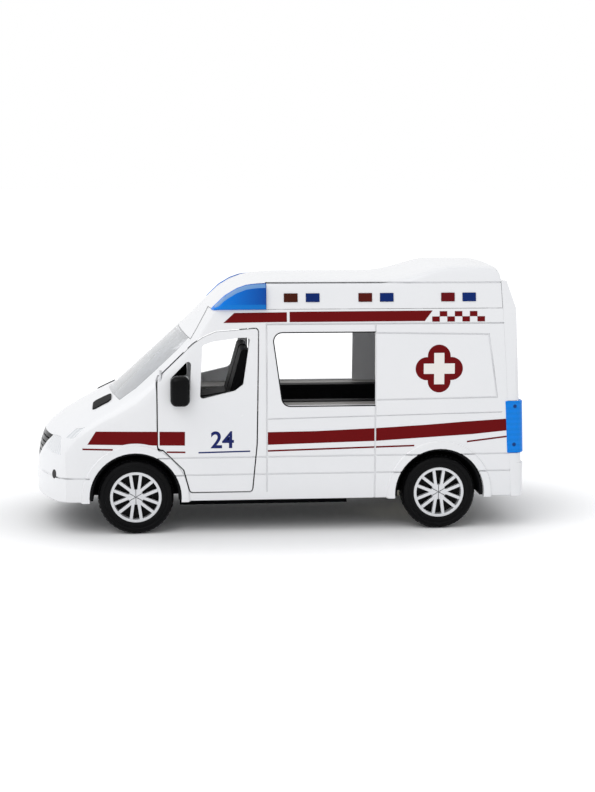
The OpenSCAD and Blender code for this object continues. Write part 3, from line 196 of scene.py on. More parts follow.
def linedMetal(name, colour, pitch, rough):
    # A metal whose gloss and relief run in fine lines along Y, the way the shafts lie.
    material, tree, shader, place = startMaterial(name, Metallic=1.0)
    shader.inputs["Base Color"].default_value = linear(colour)
    stretch = addNode(tree, "ShaderNodeMapping", {"Vector": place, "Scale": relief["lineStretch"]})
    lines = addNode(tree, "ShaderNodeTexNoise",
                    {"Vector": stretch.outputs["Vector"], "Scale": perMm(pitch), "Detail": 3})
    low, high = (rough * share for share in relief["lineGloss"])
    ramp = addNode(tree, "ShaderNodeMapRange", {"Value": lines.outputs["Fac"], "To Min": low, "To Max": high})
    tree.links.new(ramp.outputs["Result"], shader.inputs["Roughness"])
    bump = addNode(tree, "ShaderNodeBump",
                   {"Height": lines.outputs["Fac"], "Distance": relief["lineDepth"] * mm,
                    "Strength": relief["lineBump"]})
    tree.links.new(bump.outputs["Normal"], shader.inputs["Normal"])
    return material


# Steel, drawn and ground: bright, with fine drawn lines.
drawnSteel = linedMetal("drawnSteel", "#B9BABD", 0.3, 0.28)
# Zinc, die cast: a duller grey with coarser lines.
castZinc = linedMetal("castZinc", "#7D7F83", 0.8, 0.45)


def clearPlastic(name, colour, shade, through, rough, pitch, depth, turn=(0, 0, 0), ends=None, **sockets):
    # Tinted clear moulding with shallow ribs on its inner face, which bend what is seen through it and
    # deepen its colour; where ends are given it instead goes from a darker shade to its colour along X, a
    # painted shade.
    material, tree, shader, place = startMaterial(name, Roughness=rough, **sockets)
    shader.inputs["Transmission Weight"].default_value = through
    turned = addNode(tree, "ShaderNodeMapping", {"Vector": place, "Rotation": turn})
    ribs = addNode(tree, "ShaderNodeTexWave",
                   {"Vector": turned.outputs["Vector"], "Scale": perMm(pitch) * waveScale})
    blend = alongX(tree, place, ends) if ends else ribs.outputs["Fac"]
    tint = addNode(tree, "ShaderNodeMix", {0: blend, 6: linear(shade), 7: linear(colour)}, data_type="RGBA")
    tree.links.new(tint.outputs[2], shader.inputs["Base Color"])
    bump = addNode(tree, "ShaderNodeBump",
                   {"Height": ribs.outputs["Fac"], "Distance": depth * mm, "Strength": relief["ribBump"]})
    tree.links.new(bump.outputs["Normal"], shader.inputs["Normal"])
    return material


# Polystyrene screen, clear with a cool grey cast.
clearScreen = clearPlastic("clearScreen", "#E9EBEE", "#E4E7EB", 0.6, 0.04, 30, 0.002, IOR=1.59)
# Polycarbonate lens, strong translucent blue with upright ribs, painted darker towards its rear end as
# painted shade.
blueLens = clearPlastic("blueLens", "#0484EE", "#0048A4", 0.1, 0.08, 2.4, 0.01, ends=(6, 30), IOR=1.58,
                        Specular_IOR_Level=0.07)
# The chamfer of the lens, painted pale as a painted highlight where it catches the sky, and darker towards
# its rear end as painted shade.
paleLens = clearPlastic("paleLens", "#6899D0", "#5C94D0", 0.1, 0.08, 2.4, 0.01, ends=(6, 30), IOR=1.58)
# The foot of the lens, painted lighter as painted light coming up through it from the ledge below, and darker
# towards its rear end as painted shade.
footLens = clearPlastic("footLens", "#0C82E4", "#0C74C8", 0.1, 0.08, 2.4, 0.01, ends=(6, 30), IOR=1.58,
                        Specular_IOR_Level=0.07)
# Tail lights in a lighter blue, ribbed across.
blueTail = clearPlastic("blueTail", "#038AF2", "#0284E8", 0.12, 0.1, 2.6, 0.01, (0, math.radians(90), 0),
                        IOR=1.58, Specular_IOR_Level=0.07)
# Headlamp: a fluted, vacuum-plated back under a smooth clear front.
flutedLamp = clearPlastic("flutedLamp", "#E9EBEE", "#D5D8DC", 0, 0.22, 1.6, 0.12, (0, 0, math.radians(90)),
                          Metallic=0.7, Coat_Weight=1.0, Coat_Roughness=0.03, Coat_IOR=1.49)
# LED epoxy, water clear and slightly milky.
ledEpoxy = clearPlastic("ledEpoxy", "#E9EDF2", "#DDE3EA", 0.5, 0.15, 8, 0.01, IOR=1.5)

tailPegs = {"x": -114.6, "heights": (60.8, 41.9), "radius": 1.15, "soft": 0.45, "colour": "#063A7C"}


def showPegs(material, pegs):
    # The two mounting pegs behind each tail light show through it as dark spots.
    tree = material.node_tree
    colour = tree.nodes["Principled BSDF"].inputs["Base Color"]
    place = addNode(tree, "ShaderNodeTexCoord").outputs["Object"]
    for z in pegs["heights"]:
        offset = addNode(tree, "ShaderNodeVectorMath", {0: place, 1: Vector((pegs["x"], 0, z)) * mm},
                         operation="SUBTRACT")
        flat = addNode(tree, "ShaderNodeVectorMath", {0: offset.outputs["Vector"], 1: (1, 0, 1)},
                       operation="MULTIPLY")
        away = addNode(tree, "ShaderNodeVectorMath", {0: flat.outputs["Vector"]}, operation="LENGTH")
        spot = addNode(tree, "ShaderNodeMapRange",
                       {"Value": away.outputs["Value"], "From Min": (pegs["radius"] - pegs["soft"]) * mm,
                        "From Max": pegs["radius"] * mm, "To Min": 1, "To Max": 0})
        tint = addNode(tree, "ShaderNodeMix",
                       {0: spot.outputs["Result"], 6: colour.links[0].from_socket, 7: linear(pegs["colour"])},
                       data_type="RGBA")
        tree.links.new(tint.outputs[2], colour)


showPegs(blueTail, tailPegs)
print("materials made:", len(bpy.data.materials))


# CAD nodes carried over as pieces: doubles merged, flat facets shaded as the smooth mouldings they are.
carryOver = {
    "whiteAbs": ["body_shell", "roof_cap", "rear_panel", "front_door_left", "front_door_right",
                 "rear_door_left", "rear_door_right"],
    "clearScreen": ["windscreen"],
    "blueLens": ["beacon_lens_left", "beacon_lens_right"],
    "blackAbs": ["grille", "fog_lamps", "mirror_left", "mirror_right", "power_switch"],
    "flutedLamp": ["headlight_left", "headlight_right"],
    "redMarker": ["marker_lenses_red"],
    "blueMarker": ["marker_lenses_blue"],
    "blackPolypropylene": ["cabin_floor", "cab_seats", "dashboard", "steering_wheel", "chassis",
                           "battery_cover", "speaker", "bonnet_vents"],
    "greyPolypropylene": ["side_bench_left", "side_bench_right"],
    "silverLacquer": ["front_rim_left", "front_rim_right", "rear_rim_left", "rear_rim_right"],
    "drawnSteel": ["front_door_pins", "rear_door_pins", "front_axle", "rear_axle", "flywheel_shaft",
                   "battery_cells", "chassis_screws"],
    "castZinc": ["flywheel"],
    "ivoryAcetal": ["motor_case_left", "motor_case_right", "axle_gear", "compound_gear"],
    "greenBoard": ["circuit_board"],
    "ledEpoxy": ["beacon_leds"],
}
# Widths of the rounded edges, in millimetres.
bevelled = {"mirror_left": 0.3, "mirror_right": 0.3, "cab_seats": 0.5, "dashboard": 0.4,
            "side_bench_left": 0.3, "side_bench_right": 0.3, "marker_lenses_red": 0.25,
            "marker_lenses_blue": 0.25, "front_rim_left": 0.22, "front_rim_right": 0.22,
            "rear_rim_left": 0.22, "rear_rim_right": 0.22, "power_switch": 0.2}
# Pieces that fill their openings exactly stand back a hair, so that touching faces don't fight.
fitted = {"windscreen": 0.05, "beacon_lens_left": 0.03, "beacon_lens_right": 0.03, "grille": 0.04,
          "fog_lamps": 0.04, "headlight_left": 0.03, "headlight_right": 0.03, "bonnet_vents": 0.03,
          "marker_lenses_red": 0.02, "marker_lenses_blue": 0.02}
# How far round each corner a curved moulding's shading is evened out, in millimetres.
softened = {"body_shell": 7, "roof_cap": 9, "rear_panel": 4, "windscreen": 9, "front_door_left": 7,
            "front_door_right": 7, "beacon_lens_left": 4, "beacon_lens_right": 4, "headlight_left": 4,
            "headlight_right": 4, "grille": 4, "bonnet_vents": 3}
# Angles in degrees, and the distance in millimetres within which doubles merge.
finish = {"crease": 28, "merge": 0.004, "flat": 1, "bevelFrom": 40, "lathedCrease": 40}


def softNormals(mesh, reach, limit):
    # Each corner takes the mean direction of the surface near it that faces much the same way, so that the
    # facets of one moulded face shade as one and its edges stay crisp.
    mesh.calc_loop_triangles()
    spots = []
    for triangle in mesh.loop_triangles:
        a, b, c = (mesh.vertices[i].co for i in triangle.vertices)
        steps = max(1, math.ceil(math.sqrt(triangle.area) / (reach / 3)))
        for i in range(steps):
            for j in range(steps - i):
                u, v = (i + 1 / 3) / steps, (j + 1 / 3) / steps
                point = a + (b - a) * u + (c - a) * v
                spots.append((point, triangle.normal.copy(), triangle.area / steps ** 2))
    near = kdtree.KDTree(len(spots))
    for index, spot in enumerate(spots):
        near.insert(spot[0], index)
    near.balance()
    normals = []
    for polygon in mesh.polygons:
        for corner in polygon.vertices:
            total = polygon.normal * 1e-12  # never quite nothing
            for _, index, distance in near.find_range(mesh.vertices[corner].co, reach):
                _, normal, area = spots[index]
                if normal.dot(polygon.normal) > limit:
                    total += normal * area * (1 - distance / reach)
            normals.append(total.normalized())
    mesh.normals_split_custom_set(normals)


def camel(name):
    first, *rest = name.split("_")
    return first + "".join(word.capitalize() for word in rest)


def addPiece(name, mesh, body, material):
    mesh.materials.clear()
    mesh.materials.append(material)
    piece = bpy.data.objects.new(name, mesh)
    scene.collection.objects.link(piece)
    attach(piece, body)
    return piece


def roundEdges(piece, width, segments, harden):
    bevel = piece.modifiers.new("edge", "BEVEL")
    bevel.width, bevel.segments, bevel.harden_normals = width * mm, segments, harden
    bevel.limit_method, bevel.angle_limit = "ANGLE", math.radians(finish["bevelFrom"])


def closeMesh(work, name, crease=None):
    # Turns the faces outwards and writes the mesh, shaded smooth up to the crease angle if there is one.
    bmesh.ops.recalc_face_normals(work, faces=work.faces)
    for face in work.faces:
        face.smooth = crease is not None
    mesh = bpy.data.meshes.new(name)
    work.to_mesh(mesh)
    work.free()
    if crease is not None:
        mesh.set_sharp_from_angle(angle=math.radians(crease))
    return mesh


def carry(nodeName, material):
    mesh = nodes[nodeName].data.copy()
    work = bmesh.new()
    work.from_mesh(mesh)
    bmesh.ops.remove_doubles(work, verts=work.verts, dist=finish["merge"] * mm)
    if nodeName in bevelled:
        bmesh.ops.dissolve_limit(work, angle_limit=math.radians(finish["flat"]), verts=work.verts,
                                 edges=work.edges)
    work.normal_update()
    for vertex in work.verts:
        vertex.co -= vertex.normal * fitted.get(nodeName, 0) * mm
    for face in work.faces:
        face.smooth = True
    work.to_mesh(mesh)
    work.free()
    crease = math.radians(finish["crease"])
    if nodeName in softened:
        softNormals(mesh, softened[nodeName] * mm, math.cos(crease))
    else:
        mesh.set_sharp_from_angle(angle=crease)
    piece = addPiece(camel(nodeName), mesh, bodyOf[nodeName], material)
    if nodeName in bevelled:
        roundEdges(piece, bevelled[nodeName], 3, True)
    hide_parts(nodeName)


for materialName, names in carryOver.items():
    for nodeName in names:
        carry(nodeName, bpy.data.materials[materialName])
print("mouldings carried over")


# Beacon lens faces: a raised blue panel on each lens, chamfered along its arched top; the chamfer carries a
# painted highlight and the foot painted light.
lensFace = {"proud": 1.2, "chamfer": 1.7, "chamferShare": 0.55, "foot": 2.2, "inset": 0.3, "columns": 48,
            "rows": 5, "slopeRows": 3, "probe": 0.25, "halvings": 12, "blunt": 1.0, "full": 5.0, "sunk": 0.3,
            "edge": 0.12, "crease": 18}


def lensPanel(nodeName, side, s):
    # Rays from the side find the lens; the panel follows what they strike, column by column.
    cad = nodes[nodeName].data
    tree = BVHTree.FromPolygons([v.co for v in cad.vertices], [list(p.vertices) for p in cad.polygons])
    low, high = (Vector(corner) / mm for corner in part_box(nodeName))

    def strike(x, z):
        return tree.ray_cast(Vector((x * mm, side, z * mm)), Vector((0, -side, 0)))[0]

    def edgeHeight(x, inside, outside):
        for _ in range(s["halvings"]):
            middle = (inside + outside) / 2
            inside, outside = (middle, outside) if strike(x, middle) else (inside, middle)
        return inside

    columns = []
    for i in range(s["columns"] + 1):
        x = low.x + s["inset"] + (high.x - low.x - 2 * s["inset"]) * i / s["columns"]
        tries = [low.z + s["probe"] * k for k in range(math.ceil((high.z - low.z) / s["probe"]) + 1)]
        struck = [z for z in tries if strike(x, z)]
        if not struck:
            continue
        bottom = edgeHeight(x, struck[0], struck[0] - s["probe"]) + s["inset"]
        top = edgeHeight(x, struck[-1], struck[-1] + s["probe"]) - s["inset"]
        if top - bottom < s["blunt"]:
            continue
        slope = min(s["chamfer"], (top - bottom) * s["chamferShare"])
        proud = s["proud"] * min(1, (top - bottom) / s["full"])
        flat = top - slope - bottom
        foot = min(s["foot"], flat / 2)
        heights = [(bottom, proud)]
        heights += [(bottom + foot + (flat - foot) * k / s["rows"], proud) for k in range(s["rows"] + 1)]
        heights += [(top - slope + slope * k / s["slopeRows"], proud * (1 - k / s["slopeRows"]))
                    for k in range(1, s["slopeRows"] + 1)]
        spots = [(strike(x, z), lift) for z, lift in heights]
        if all(spot for spot, _ in spots):
            columns.append(spots)
    work = bmesh.new()
    out = Vector((0, side * mm, 0))
    front = [[work.verts.new(spot + out * lift) for spot, lift in column] for column in columns]
    back = [[work.verts.new(spot - out * s["sunk"]) for spot, _ in column] for column in columns]
    last = len(front[0]) - 1
    for a, b, c, d in zip(front, front[1:], back, back[1:]):
        for j in range(last):
            face = work.faces.new((a[j], b[j], b[j + 1], a[j + 1]))
            # Row 0, the foot, takes the painted light (material 2); rows past the flat, the chamfer, take the
            # painted highlight (material 1).
            face.material_index = 2 if j == 0 else int(j > s["rows"])
            work.faces.new((c[j], c[j + 1], d[j + 1], d[j]))
        work.faces.new((a[0], c[0], d[0], b[0]))
        work.faces.new((a[last], b[last], d[last], c[last]))
    for outer, inner in ((front[0], back[0]), (front[-1], back[-1])):
        for j in range(last):
            work.faces.new((outer[j], outer[j + 1], inner[j + 1], inner[j]))
    return closeMesh(work, "lensPanel", s["crease"])


for tag, side in sides.items():
    nodeName = "beacon_lens_" + tag
    mesh = lensPanel(nodeName, side, lensFace)
    finishes = [polygon.material_index for polygon in mesh.polygons]
    piece = addPiece("lensFace" + tag.capitalize(), mesh, "van", blueLens)
    mesh.materials.append(paleLens)
    mesh.materials.append(footLens)
    mesh.polygons.foreach_set("material_index", finishes)
    roundEdges(piece, lensFace["edge"], 2, False)
print("lens faces raised")


# Tail lights: a lens wrapped round each rear corner, a little proud of the panel.
tailLens = {"low": 37.7, "high": 63.4, "front": -111.3, "frontLean": 3.2, "rear": -120.05, "rearLean": 2.2,
            "side": 46.35, "inner": 39.1, "corner": 4.6, "depth": 1.4, "rows": 12, "arcSteps": 10,
            "edge": 0.45}


def tailPlan(z, inset, s):  # the lens seen from above at that height, from its front edge to its inner end
    rear = s["rear"] + (z - s["low"]) * math.tan(math.radians(s["rearLean"])) + inset
    front = s["front"] + (z - s["low"]) * math.tan(math.radians(s["frontLean"]))
    side, r = s["side"] - inset, s["corner"] - inset
    turns = [math.radians(90 * i / s["arcSteps"]) for i in range(s["arcSteps"] + 1)]
    bend = [(rear + r - r * math.sin(a), side - r + r * math.cos(a)) for a in turns]
    return [(front, side)] + bend + [(rear, s["inner"])]


def tailMesh(side, s):
    work = bmesh.new()
    rings = []
    for k in range(s["rows"] + 1):
        z = s["low"] + (s["high"] - s["low"]) * k / s["rows"]
        plan = tailPlan(z, 0, s) + tailPlan(z, s["depth"], s)[::-1]
        rings.append([work.verts.new((x * mm, side * y * mm, z * mm)) for x, y in plan])
    count = len(rings[0])
    for a, b in zip(rings, rings[1:]):
        for i in range(count):
            j = (i + 1) % count
            work.faces.new((a[i], a[j], b[j], b[i]))
    for ring in (rings[0], rings[-1]):
        for i in range(count // 2 - 1):
            work.faces.new((ring[i], ring[i + 1], ring[count - 2 - i], ring[count - 1 - i]))
    return closeMesh(work, "tailLens", finish["crease"])


for tag, side in sides.items():
    nodeName = "tail_light_" + tag
    piece = addPiece(camel(nodeName), tailMesh(side, tailLens), "van", blueTail)
    roundEdges(piece, tailLens["edge"], 3, True)
    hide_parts(nodeName)
print("tail lights fitted")


# Lips of the floor trough: a black angle laid over the inner edge of each ledge.
troughLip = {"ends": (-109.6, 5.5), "edge": 25.0, "reach": 6.6, "top": 61.8, "low": 59.6, "thick": 0.45,
             "gap": 0.0225, "round": 0.3, "roundCut": 0.09}


def lipMesh(side, s):
    inner, outer, top = s["edge"] - s["thick"], s["edge"] + s["reach"], s["top"] + s["thick"]
    r, cut, gap = s["round"], s["roundCut"], s["gap"]
    profile = [(inner, s["low"]), (inner, top - r), (inner + cut, top - cut), (inner + r, top),
               (outer - r, top), (outer - cut, top - cut), (outer, top - r), (outer, s["top"] + gap),
               (s["edge"] - gap, s["top"] + gap), (s["edge"] - gap, s["low"])]
    work = bmesh.new()
    rings = [[work.verts.new((x * mm, side * y * mm, z * mm)) for y, z in profile] for x in s["ends"]]
    for i in range(len(profile)):
        j = (i + 1) % len(profile)
        work.faces.new((rings[0][i], rings[0][j], rings[1][j], rings[1][i]))
    for ring in rings:
        work.faces.new(ring)
    return closeMesh(work, "troughLip")


for tag, side in sides.items():
    addPiece("troughLip" + tag.capitalize(), lipMesh(side, troughLip), "van", blackPolypropylene)
print("trough lips laid")


# Geometry node trees: a small start and finish that every tree shares.
def nodeTree(name, sockets):
    tree = bpy.data.node_groups.new(name, "GeometryNodeTree")
    tree.interface.new_socket("Geometry", in_out="OUTPUT", socket_type="NodeSocketGeometry")
    made = {}
    for key, kind in sockets.items():
        made[key] = tree.interface.new_socket(key, in_out="INPUT", socket_type="NodeSocket" + kind)
    return tree, made, addNode(tree, "NodeGroupInput").outputs


def closeTree(tree, geometry, material):
    real = addNode(tree, "GeometryNodeRealizeInstances", {"Geometry": geometry})
    inked = addNode(tree, "GeometryNodeSetMaterial",
                    {"Geometry": real.outputs["Geometry"], "Material": material})
    addNode(tree, "NodeGroupOutput", {"Geometry": inked.outputs["Geometry"]})


def plainMesh(holder):  # the holder's finished mesh; the holder goes
    scene.collection.objects.link(holder)
    bpy.context.view_layer.update()
    mesh = bpy.data.meshes.new_from_object(holder.evaluated_get(bpy.context.evaluated_depsgraph_get()))
    bpy.data.objects.remove(holder)
    return mesh


def growMesh(name, tree, made, values):
    holder = bpy.data.objects.new(name + "Seed", bpy.data.meshes.new(name + "Seed"))
    modifier = holder.modifiers.new("grow", "NODES")
    modifier.node_group = tree
    for key, value in values.items():
        modifier[made[key].identifier] = value
    return plainMesh(holder)


# Tyres: a lathed carcass with a rolled bead and a groove round the sidewall, and tread lugs set round it.
tyre = {"radius": 18.2, "width": 13, "bore": 1.5, "hub": 3.0, "seat": 12.5, "recess": 4.8, "shoulder": 2.2,
        "bead": ((0, 0.5), (0.3, 0.1), (0.8, 0)), "ring": 15.1, "ringWidth": 0.35, "ringCut": (0.05, 0.3),
        "turns": 96, "arcSteps": 6, "lugHeight": 0.25, "lugCount": 46, "lugSize": (2.2, 1.5), "rowGap": 2.9,
        "axles": {"front": 70, "rear": -78}, "axleZ": 18.2, "face": 45}


def tyreProfile(t):
    body, r, w = t["radius"] - t["lugHeight"], t["shoulder"], t["width"]
    seat, recess = t["seat"], t["recess"]
    arc = [math.radians(90 * i / t["arcSteps"]) for i in range(t["arcSteps"] + 1)]
    ring, half, (brim, groove) = t["ring"], t["ringWidth"], t["ringCut"]
    outer = [(t["bore"], recess), (seat, recess)] + [(seat + step, depth) for step, depth in t["bead"]]
    outer += [(ring - half, brim), (ring, groove), (ring + half, brim)]
    shoulder = [(body - r + r * math.sin(a), r - r * math.cos(a)) for a in arc]
    back = [(body - r + r * math.cos(a), w - r + r * math.sin(a)) for a in arc]
    inner = [(seat, w), (seat, w - recess), (t["hub"], w - recess), (t["hub"], w), (t["bore"], w)]
    return outer + shoulder + back + inner


def lathe(profile, turns):
    # Spins a closed profile of radius and depth round the Z axis.
    work = bmesh.new()
    rings = []
    for k in range(turns):
        angle = 2 * math.pi * k / turns
        rings.append([work.verts.new((r * math.cos(angle), r * math.sin(angle), -d)) for r, d in profile])
    for k in range(turns):
        a, b = rings[k], rings[(k + 1) % turns]
        for i in range(len(profile)):
            j = (i + 1) % len(profile)
            work.faces.new((a[i], a[j], b[j], b[i]))
    return closeMesh(work, "lathed", finish["lathedCrease"])


def treadTree(material):
    tree, made, given = nodeTree("treadLugs", {"Count": "Int", "Radius": "Float", "Lug": "Vector",
                                               "Row Gap": "Float"})
    ring = addNode(tree, "GeometryNodeMeshCircle", {"Vertices": given["Count"], "Radius": given["Radius"]})
    turn = addNode(tree, "ShaderNodeMath", {0: math.pi, 1: given["Count"]}, operation="DIVIDE")
    rows = addNode(tree, "GeometryNodeJoinGeometry")
    for row in (-1, 0, 1):
        lift = addNode(tree, "ShaderNodeMath", {0: given["Row Gap"], 1: float(row)}, operation="MULTIPLY")
        shift = addNode(tree, "ShaderNodeCombineXYZ", {"Z": lift.outputs["Value"]})
        spin = addNode(tree, "ShaderNodeMath", {0: turn.outputs["Value"], 1: float(row == 0)},
                       operation="MULTIPLY")
        twist = addNode(tree, "ShaderNodeCombineXYZ", {"Z": spin.outputs["Value"]})
        moved = addNode(tree, "GeometryNodeTransform",
                        {"Geometry": ring.outputs["Mesh"], "Translation": shift.outputs["Vector"],
                         "Rotation": twist.outputs["Vector"]})
        tree.links.new(moved.outputs["Geometry"], rows.inputs["Geometry"])
    spot = addNode(tree, "GeometryNodeInputPosition")
    outward = addNode(tree, "ShaderNodeVectorMath", {0: spot.outputs["Position"], 1: (1, 1, 0)},
                      operation="MULTIPLY")
    aim = addNode(tree, "FunctionNodeAlignRotationToVector", {"Vector": outward.outputs["Vector"]},
                  axis="X", pivot_axis="Z")
    lug = addNode(tree, "GeometryNodeMeshCube", {"Size": given["Lug"]})
    placed = addNode(tree, "GeometryNodeInstanceOnPoints",
                     {"Points": rows.outputs["Geometry"], "Instance": lug.outputs["Mesh"],
                      "Rotation": aim.outputs["Rotation"]})
    closeTree(tree, placed.outputs["Instances"], material)
    return tree, made


lugTree, lugSockets = treadTree(tyreRubber)
lugWide, lugLong = tyre["lugSize"]
lugDepth = 2 * tyre["lugHeight"]  # half of it is sunk in the carcass
lugReach = 2 * tyre["radius"] - math.hypot(tyre["radius"], lugLong / 2)  # so that no corner passes the radius
for end, axleX in tyre["axles"].items():
    for tag, side in sides.items():
        carcass = lathe(tyreProfile(tyre), tyre["turns"])
        lugs = growMesh("treadLugs", lugTree, lugSockets,
                        {"Count": tyre["lugCount"], "Radius": lugReach - lugDepth / 2,
                         "Row Gap": tyre["rowGap"], "Lug": (lugDepth, lugLong, lugWide)})
        lugs.transform(Matrix.Translation((0, 0, -tyre["width"] / 2)))
        place = Matrix.Translation(Vector((axleX, side * tyre["face"], tyre["axleZ"])))
        place = Matrix.Scale(mm, 4) @ place @ Matrix.Rotation(math.radians(-90 * side), 4, "X")
        nodeName = f"{end}_tyre_{tag}"
        for mesh, name in ((carcass, camel(nodeName)), (lugs, camel(nodeName) + "Tread")):
            mesh.transform(place)
            piece = addPiece(name, mesh, bodyOf[nodeName], tyreRubber)
            if mesh == carcass:
                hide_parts(nodeName)
print("tyres turned")


# Printed decals lie on the body's side, which stands upright to the belt and then leans in.
bodySide = {"halfWidth": 46.0, "belt": 60.27, "seam": 108.49, "gutter": 120.91, "lean": 3.5,
            "levels": (0, 0.35, 0.7, 1), "inkProud": 0.05}
# Heights where the side bends.
sideRise = bodySide["gutter"] - bodySide["belt"]
sideKnots = [bodySide["belt"] + sideRise * level for level in bodySide["levels"]]


def sideY(z):  # half the body's width at that height
    form = bodySide
    leans = [form["lean"] * ((k - form["belt"]) / (form["seam"] - form["belt"])) ** 2 for k in sideKnots]
    if z <= sideKnots[0]:
        return form["halfWidth"]
    for low, high, a, b in zip(sideKnots, sideKnots[1:], leans, leans[1:]):
        if z <= high:
            return form["halfWidth"] - a - (b - a) * (z - low) / (high - low)
    return form["halfWidth"] - leans[-1]


def layOnSide(mesh, side, proud):
    # The mesh lies flat in X and Z, in millimetres. It is bent to the body's side and scaled to metres.
    for vertex in mesh.vertices:
        x, z = vertex.co.x, vertex.co.z
        vertex.co = Vector((x, side * (sideY(z) + proud), z)) * mm
    mesh.update()
    for polygon in mesh.polygons:
        if polygon.normal.y * side < 0:
            polygon.flip()
    mesh.update()


def decal(name, outlines, body, material, proud=bodySide["inkProud"], gaps=()):
    # Flat outlines in X and Z, printed on both sides, cut where the side bends and left out in the gaps.
    for tag, side in sides.items():
        work = bmesh.new()
        for outline in outlines:
            work.faces.new([work.verts.new((x, 0, z)) for x, z in outline])
        cuts = [((0, 0, z), (0, 0, 1)) for z in sideKnots]
        cuts += [((x, 0, 0), (1, 0, 0)) for gap in gaps for x in gap]
        for point, normal in cuts:
            parts = work.verts[:] + work.edges[:] + work.faces[:]
            bmesh.ops.bisect_plane(work, geom=parts, plane_co=point, plane_no=normal)
        inGap = [f for f in work.faces if any(a < f.calc_center_median().x < b for a, b in gaps)]
        bmesh.ops.delete(work, geom=inGap, context="FACES")
        pieceName = name + tag.capitalize()
        mesh = bpy.data.meshes.new(pieceName)
        work.to_mesh(mesh)
        work.free()
        layOnSide(mesh, side, proud)
        addPiece(pieceName, mesh, body.replace("left", tag), material)


stripes = {
    "bandProud": 0.08,
    "roofBand": {"front": [(27.3, 102.3), (22.1, 107.0), (-3.1, 107.2), (-3.1, 102.6)],
                 "rear": [(-4.4, 102.5), (-4.4, 107.4), (-73.8, 107.6), (-69.9, 102.6)]},
    "waistFront": {"nose": 92.6, "top": (88.5, 51.0), "doorEdge": 59.2, "topAtDoor": 50.5, "lowAtNose": 44.7,
                   "lowAtDoor": 43.8, "flareX": 70, "flareZ": 18.2, "flareR": 26.7, "steps": 24},
    "waistDoor": [(58.3, 43.8), (58.3, 50.5), (46.1, 50.3), (46.2, 43.6)],
    "waistRearTop": [(6.3, 49.6), (-16.8, 49.8), (-46.5, 50.9), (-71, 52.2), (-89.3, 53.5), (-110.4, 54.7)],
    "waistRearLow": [(6.3, 43.4), (-46.6, 44.6), (-71.1, 46), (-94, 47.3), (-110.9, 48.9)],
    "pinLines": [((95, 42.5), (80.6, 42.0)), ((55.0, 40.5), (46, 40.3)), ((6.3, 40.4), (-65.2, 42)),
                 ((-91.2, 43.6), (-110.9, 45.9))],
    "pinWidth": 0.8,
    "doorGrooves": [(-46.4, -45.6)],
}


def waistFrontOutline(s):
    lower = []
    for i in range(s["steps"] + 1):
        x = s["nose"] + (s["doorEdge"] - s["nose"]) * i / s["steps"]
        z = s["lowAtNose"] + (s["lowAtDoor"] - s["lowAtNose"]) * i / s["steps"]
        reach = s["flareR"] ** 2 - (x - s["flareX"]) ** 2
        lower.append((x, max(z, s["flareZ"] + math.sqrt(max(reach, 0)))))
    return lower + [(s["doorEdge"], s["topAtDoor"]), s["top"]]


def pinLine(a, b, width):
    (x0, z0), (x1, z1), half = a, b, width / 2
    return [(x0, z0 - half), (x0, z0 + half), (x1, z1 + half), (x1, z1 - half)]


noseLine, doorLine, *sideLines = (pinLine(a, b, stripes["pinWidth"]) for a, b in stripes["pinLines"])
waistRear = stripes["waistRearTop"] + stripes["waistRearLow"][::-1]
decal("roofBand", stripes["roofBand"].values(), "van", redInk, proud=stripes["bandProud"])
decal("waistStripe", [waistFrontOutline(stripes["waistFront"]), waistRear], "van", redInk,
      gaps=stripes["doorGrooves"])
decal("pinLines", [noseLine, *sideLines], "van", redInk, gaps=stripes["doorGrooves"])
decal("doorStripe", [stripes["waistDoor"], doorLine], "door_front_left", redInk)
print("stripes printed")


# Painted shade: a black line round the open side window, standing in for the shade on the inner walls of the
# opening.
windowEdgeShade = {"path": [(-46, 97.5), (4.0, 97.5), (-1.0, 62.0), (-46, 62.0)], "corner": 4.2, "width": 0.55,
              "steps": 8, "proud": 0.06}


def roundedPath(points, radius, steps):
    # An open path whose inner corners are turned with that radius.
    path = [Vector(points[0])]
    for a, corner, b in zip(points, points[1:], points[2:]):
        a, corner, b = Vector(a), Vector(corner), Vector(b)
        u, v = (a - corner).normalized(), (b - corner).normalized()
        half = u.angle(v) / 2
        centre = corner + (u + v).normalized() * radius / math.sin(half)
        start, end = corner + u * radius / math.tan(half), corner + v * radius / math.tan(half)
        for k in range(steps + 1):
            spoke = (start - centre).slerp(end - centre, k / steps).normalized()
            path.append(centre + spoke * radius)
    return path + [Vector(points[-1])]


def ribbon(path, width):
    # Quads along a path, with each joint mitred.
    edges = []
    for i, point in enumerate(path):
        along = (path[min(i + 1, len(path) - 1)] - path[max(i - 1, 0)]).normalized()
        across = Vector((-along.y, along.x)) * width / 2
        edges.append((tuple(point - across), tuple(point + across)))
    return [(a, b, d, c) for (a, b), (c, d) in zip(edges, edges[1:])]


# Painted shade along the window's top, front and bottom edges.
edgeShadePath = roundedPath(windowEdgeShade["path"], windowEdgeShade["corner"], windowEdgeShade["steps"])
decal("windowEdgeShade", ribbon(edgeShadePath, windowEdgeShade["width"]), "van", blackPolypropylene,
      windowEdgeShade["proud"])
print("window lined")


# Checker at the end of the roof band, set out by geometry nodes from one square.
checker = {"square": (3.7, 2.5), "start": -75.4, "rows": ((106.0, 3, -3.7), (103.5, 4, 0.0)), "pitch": 7.4,
           "proud": 0.08}


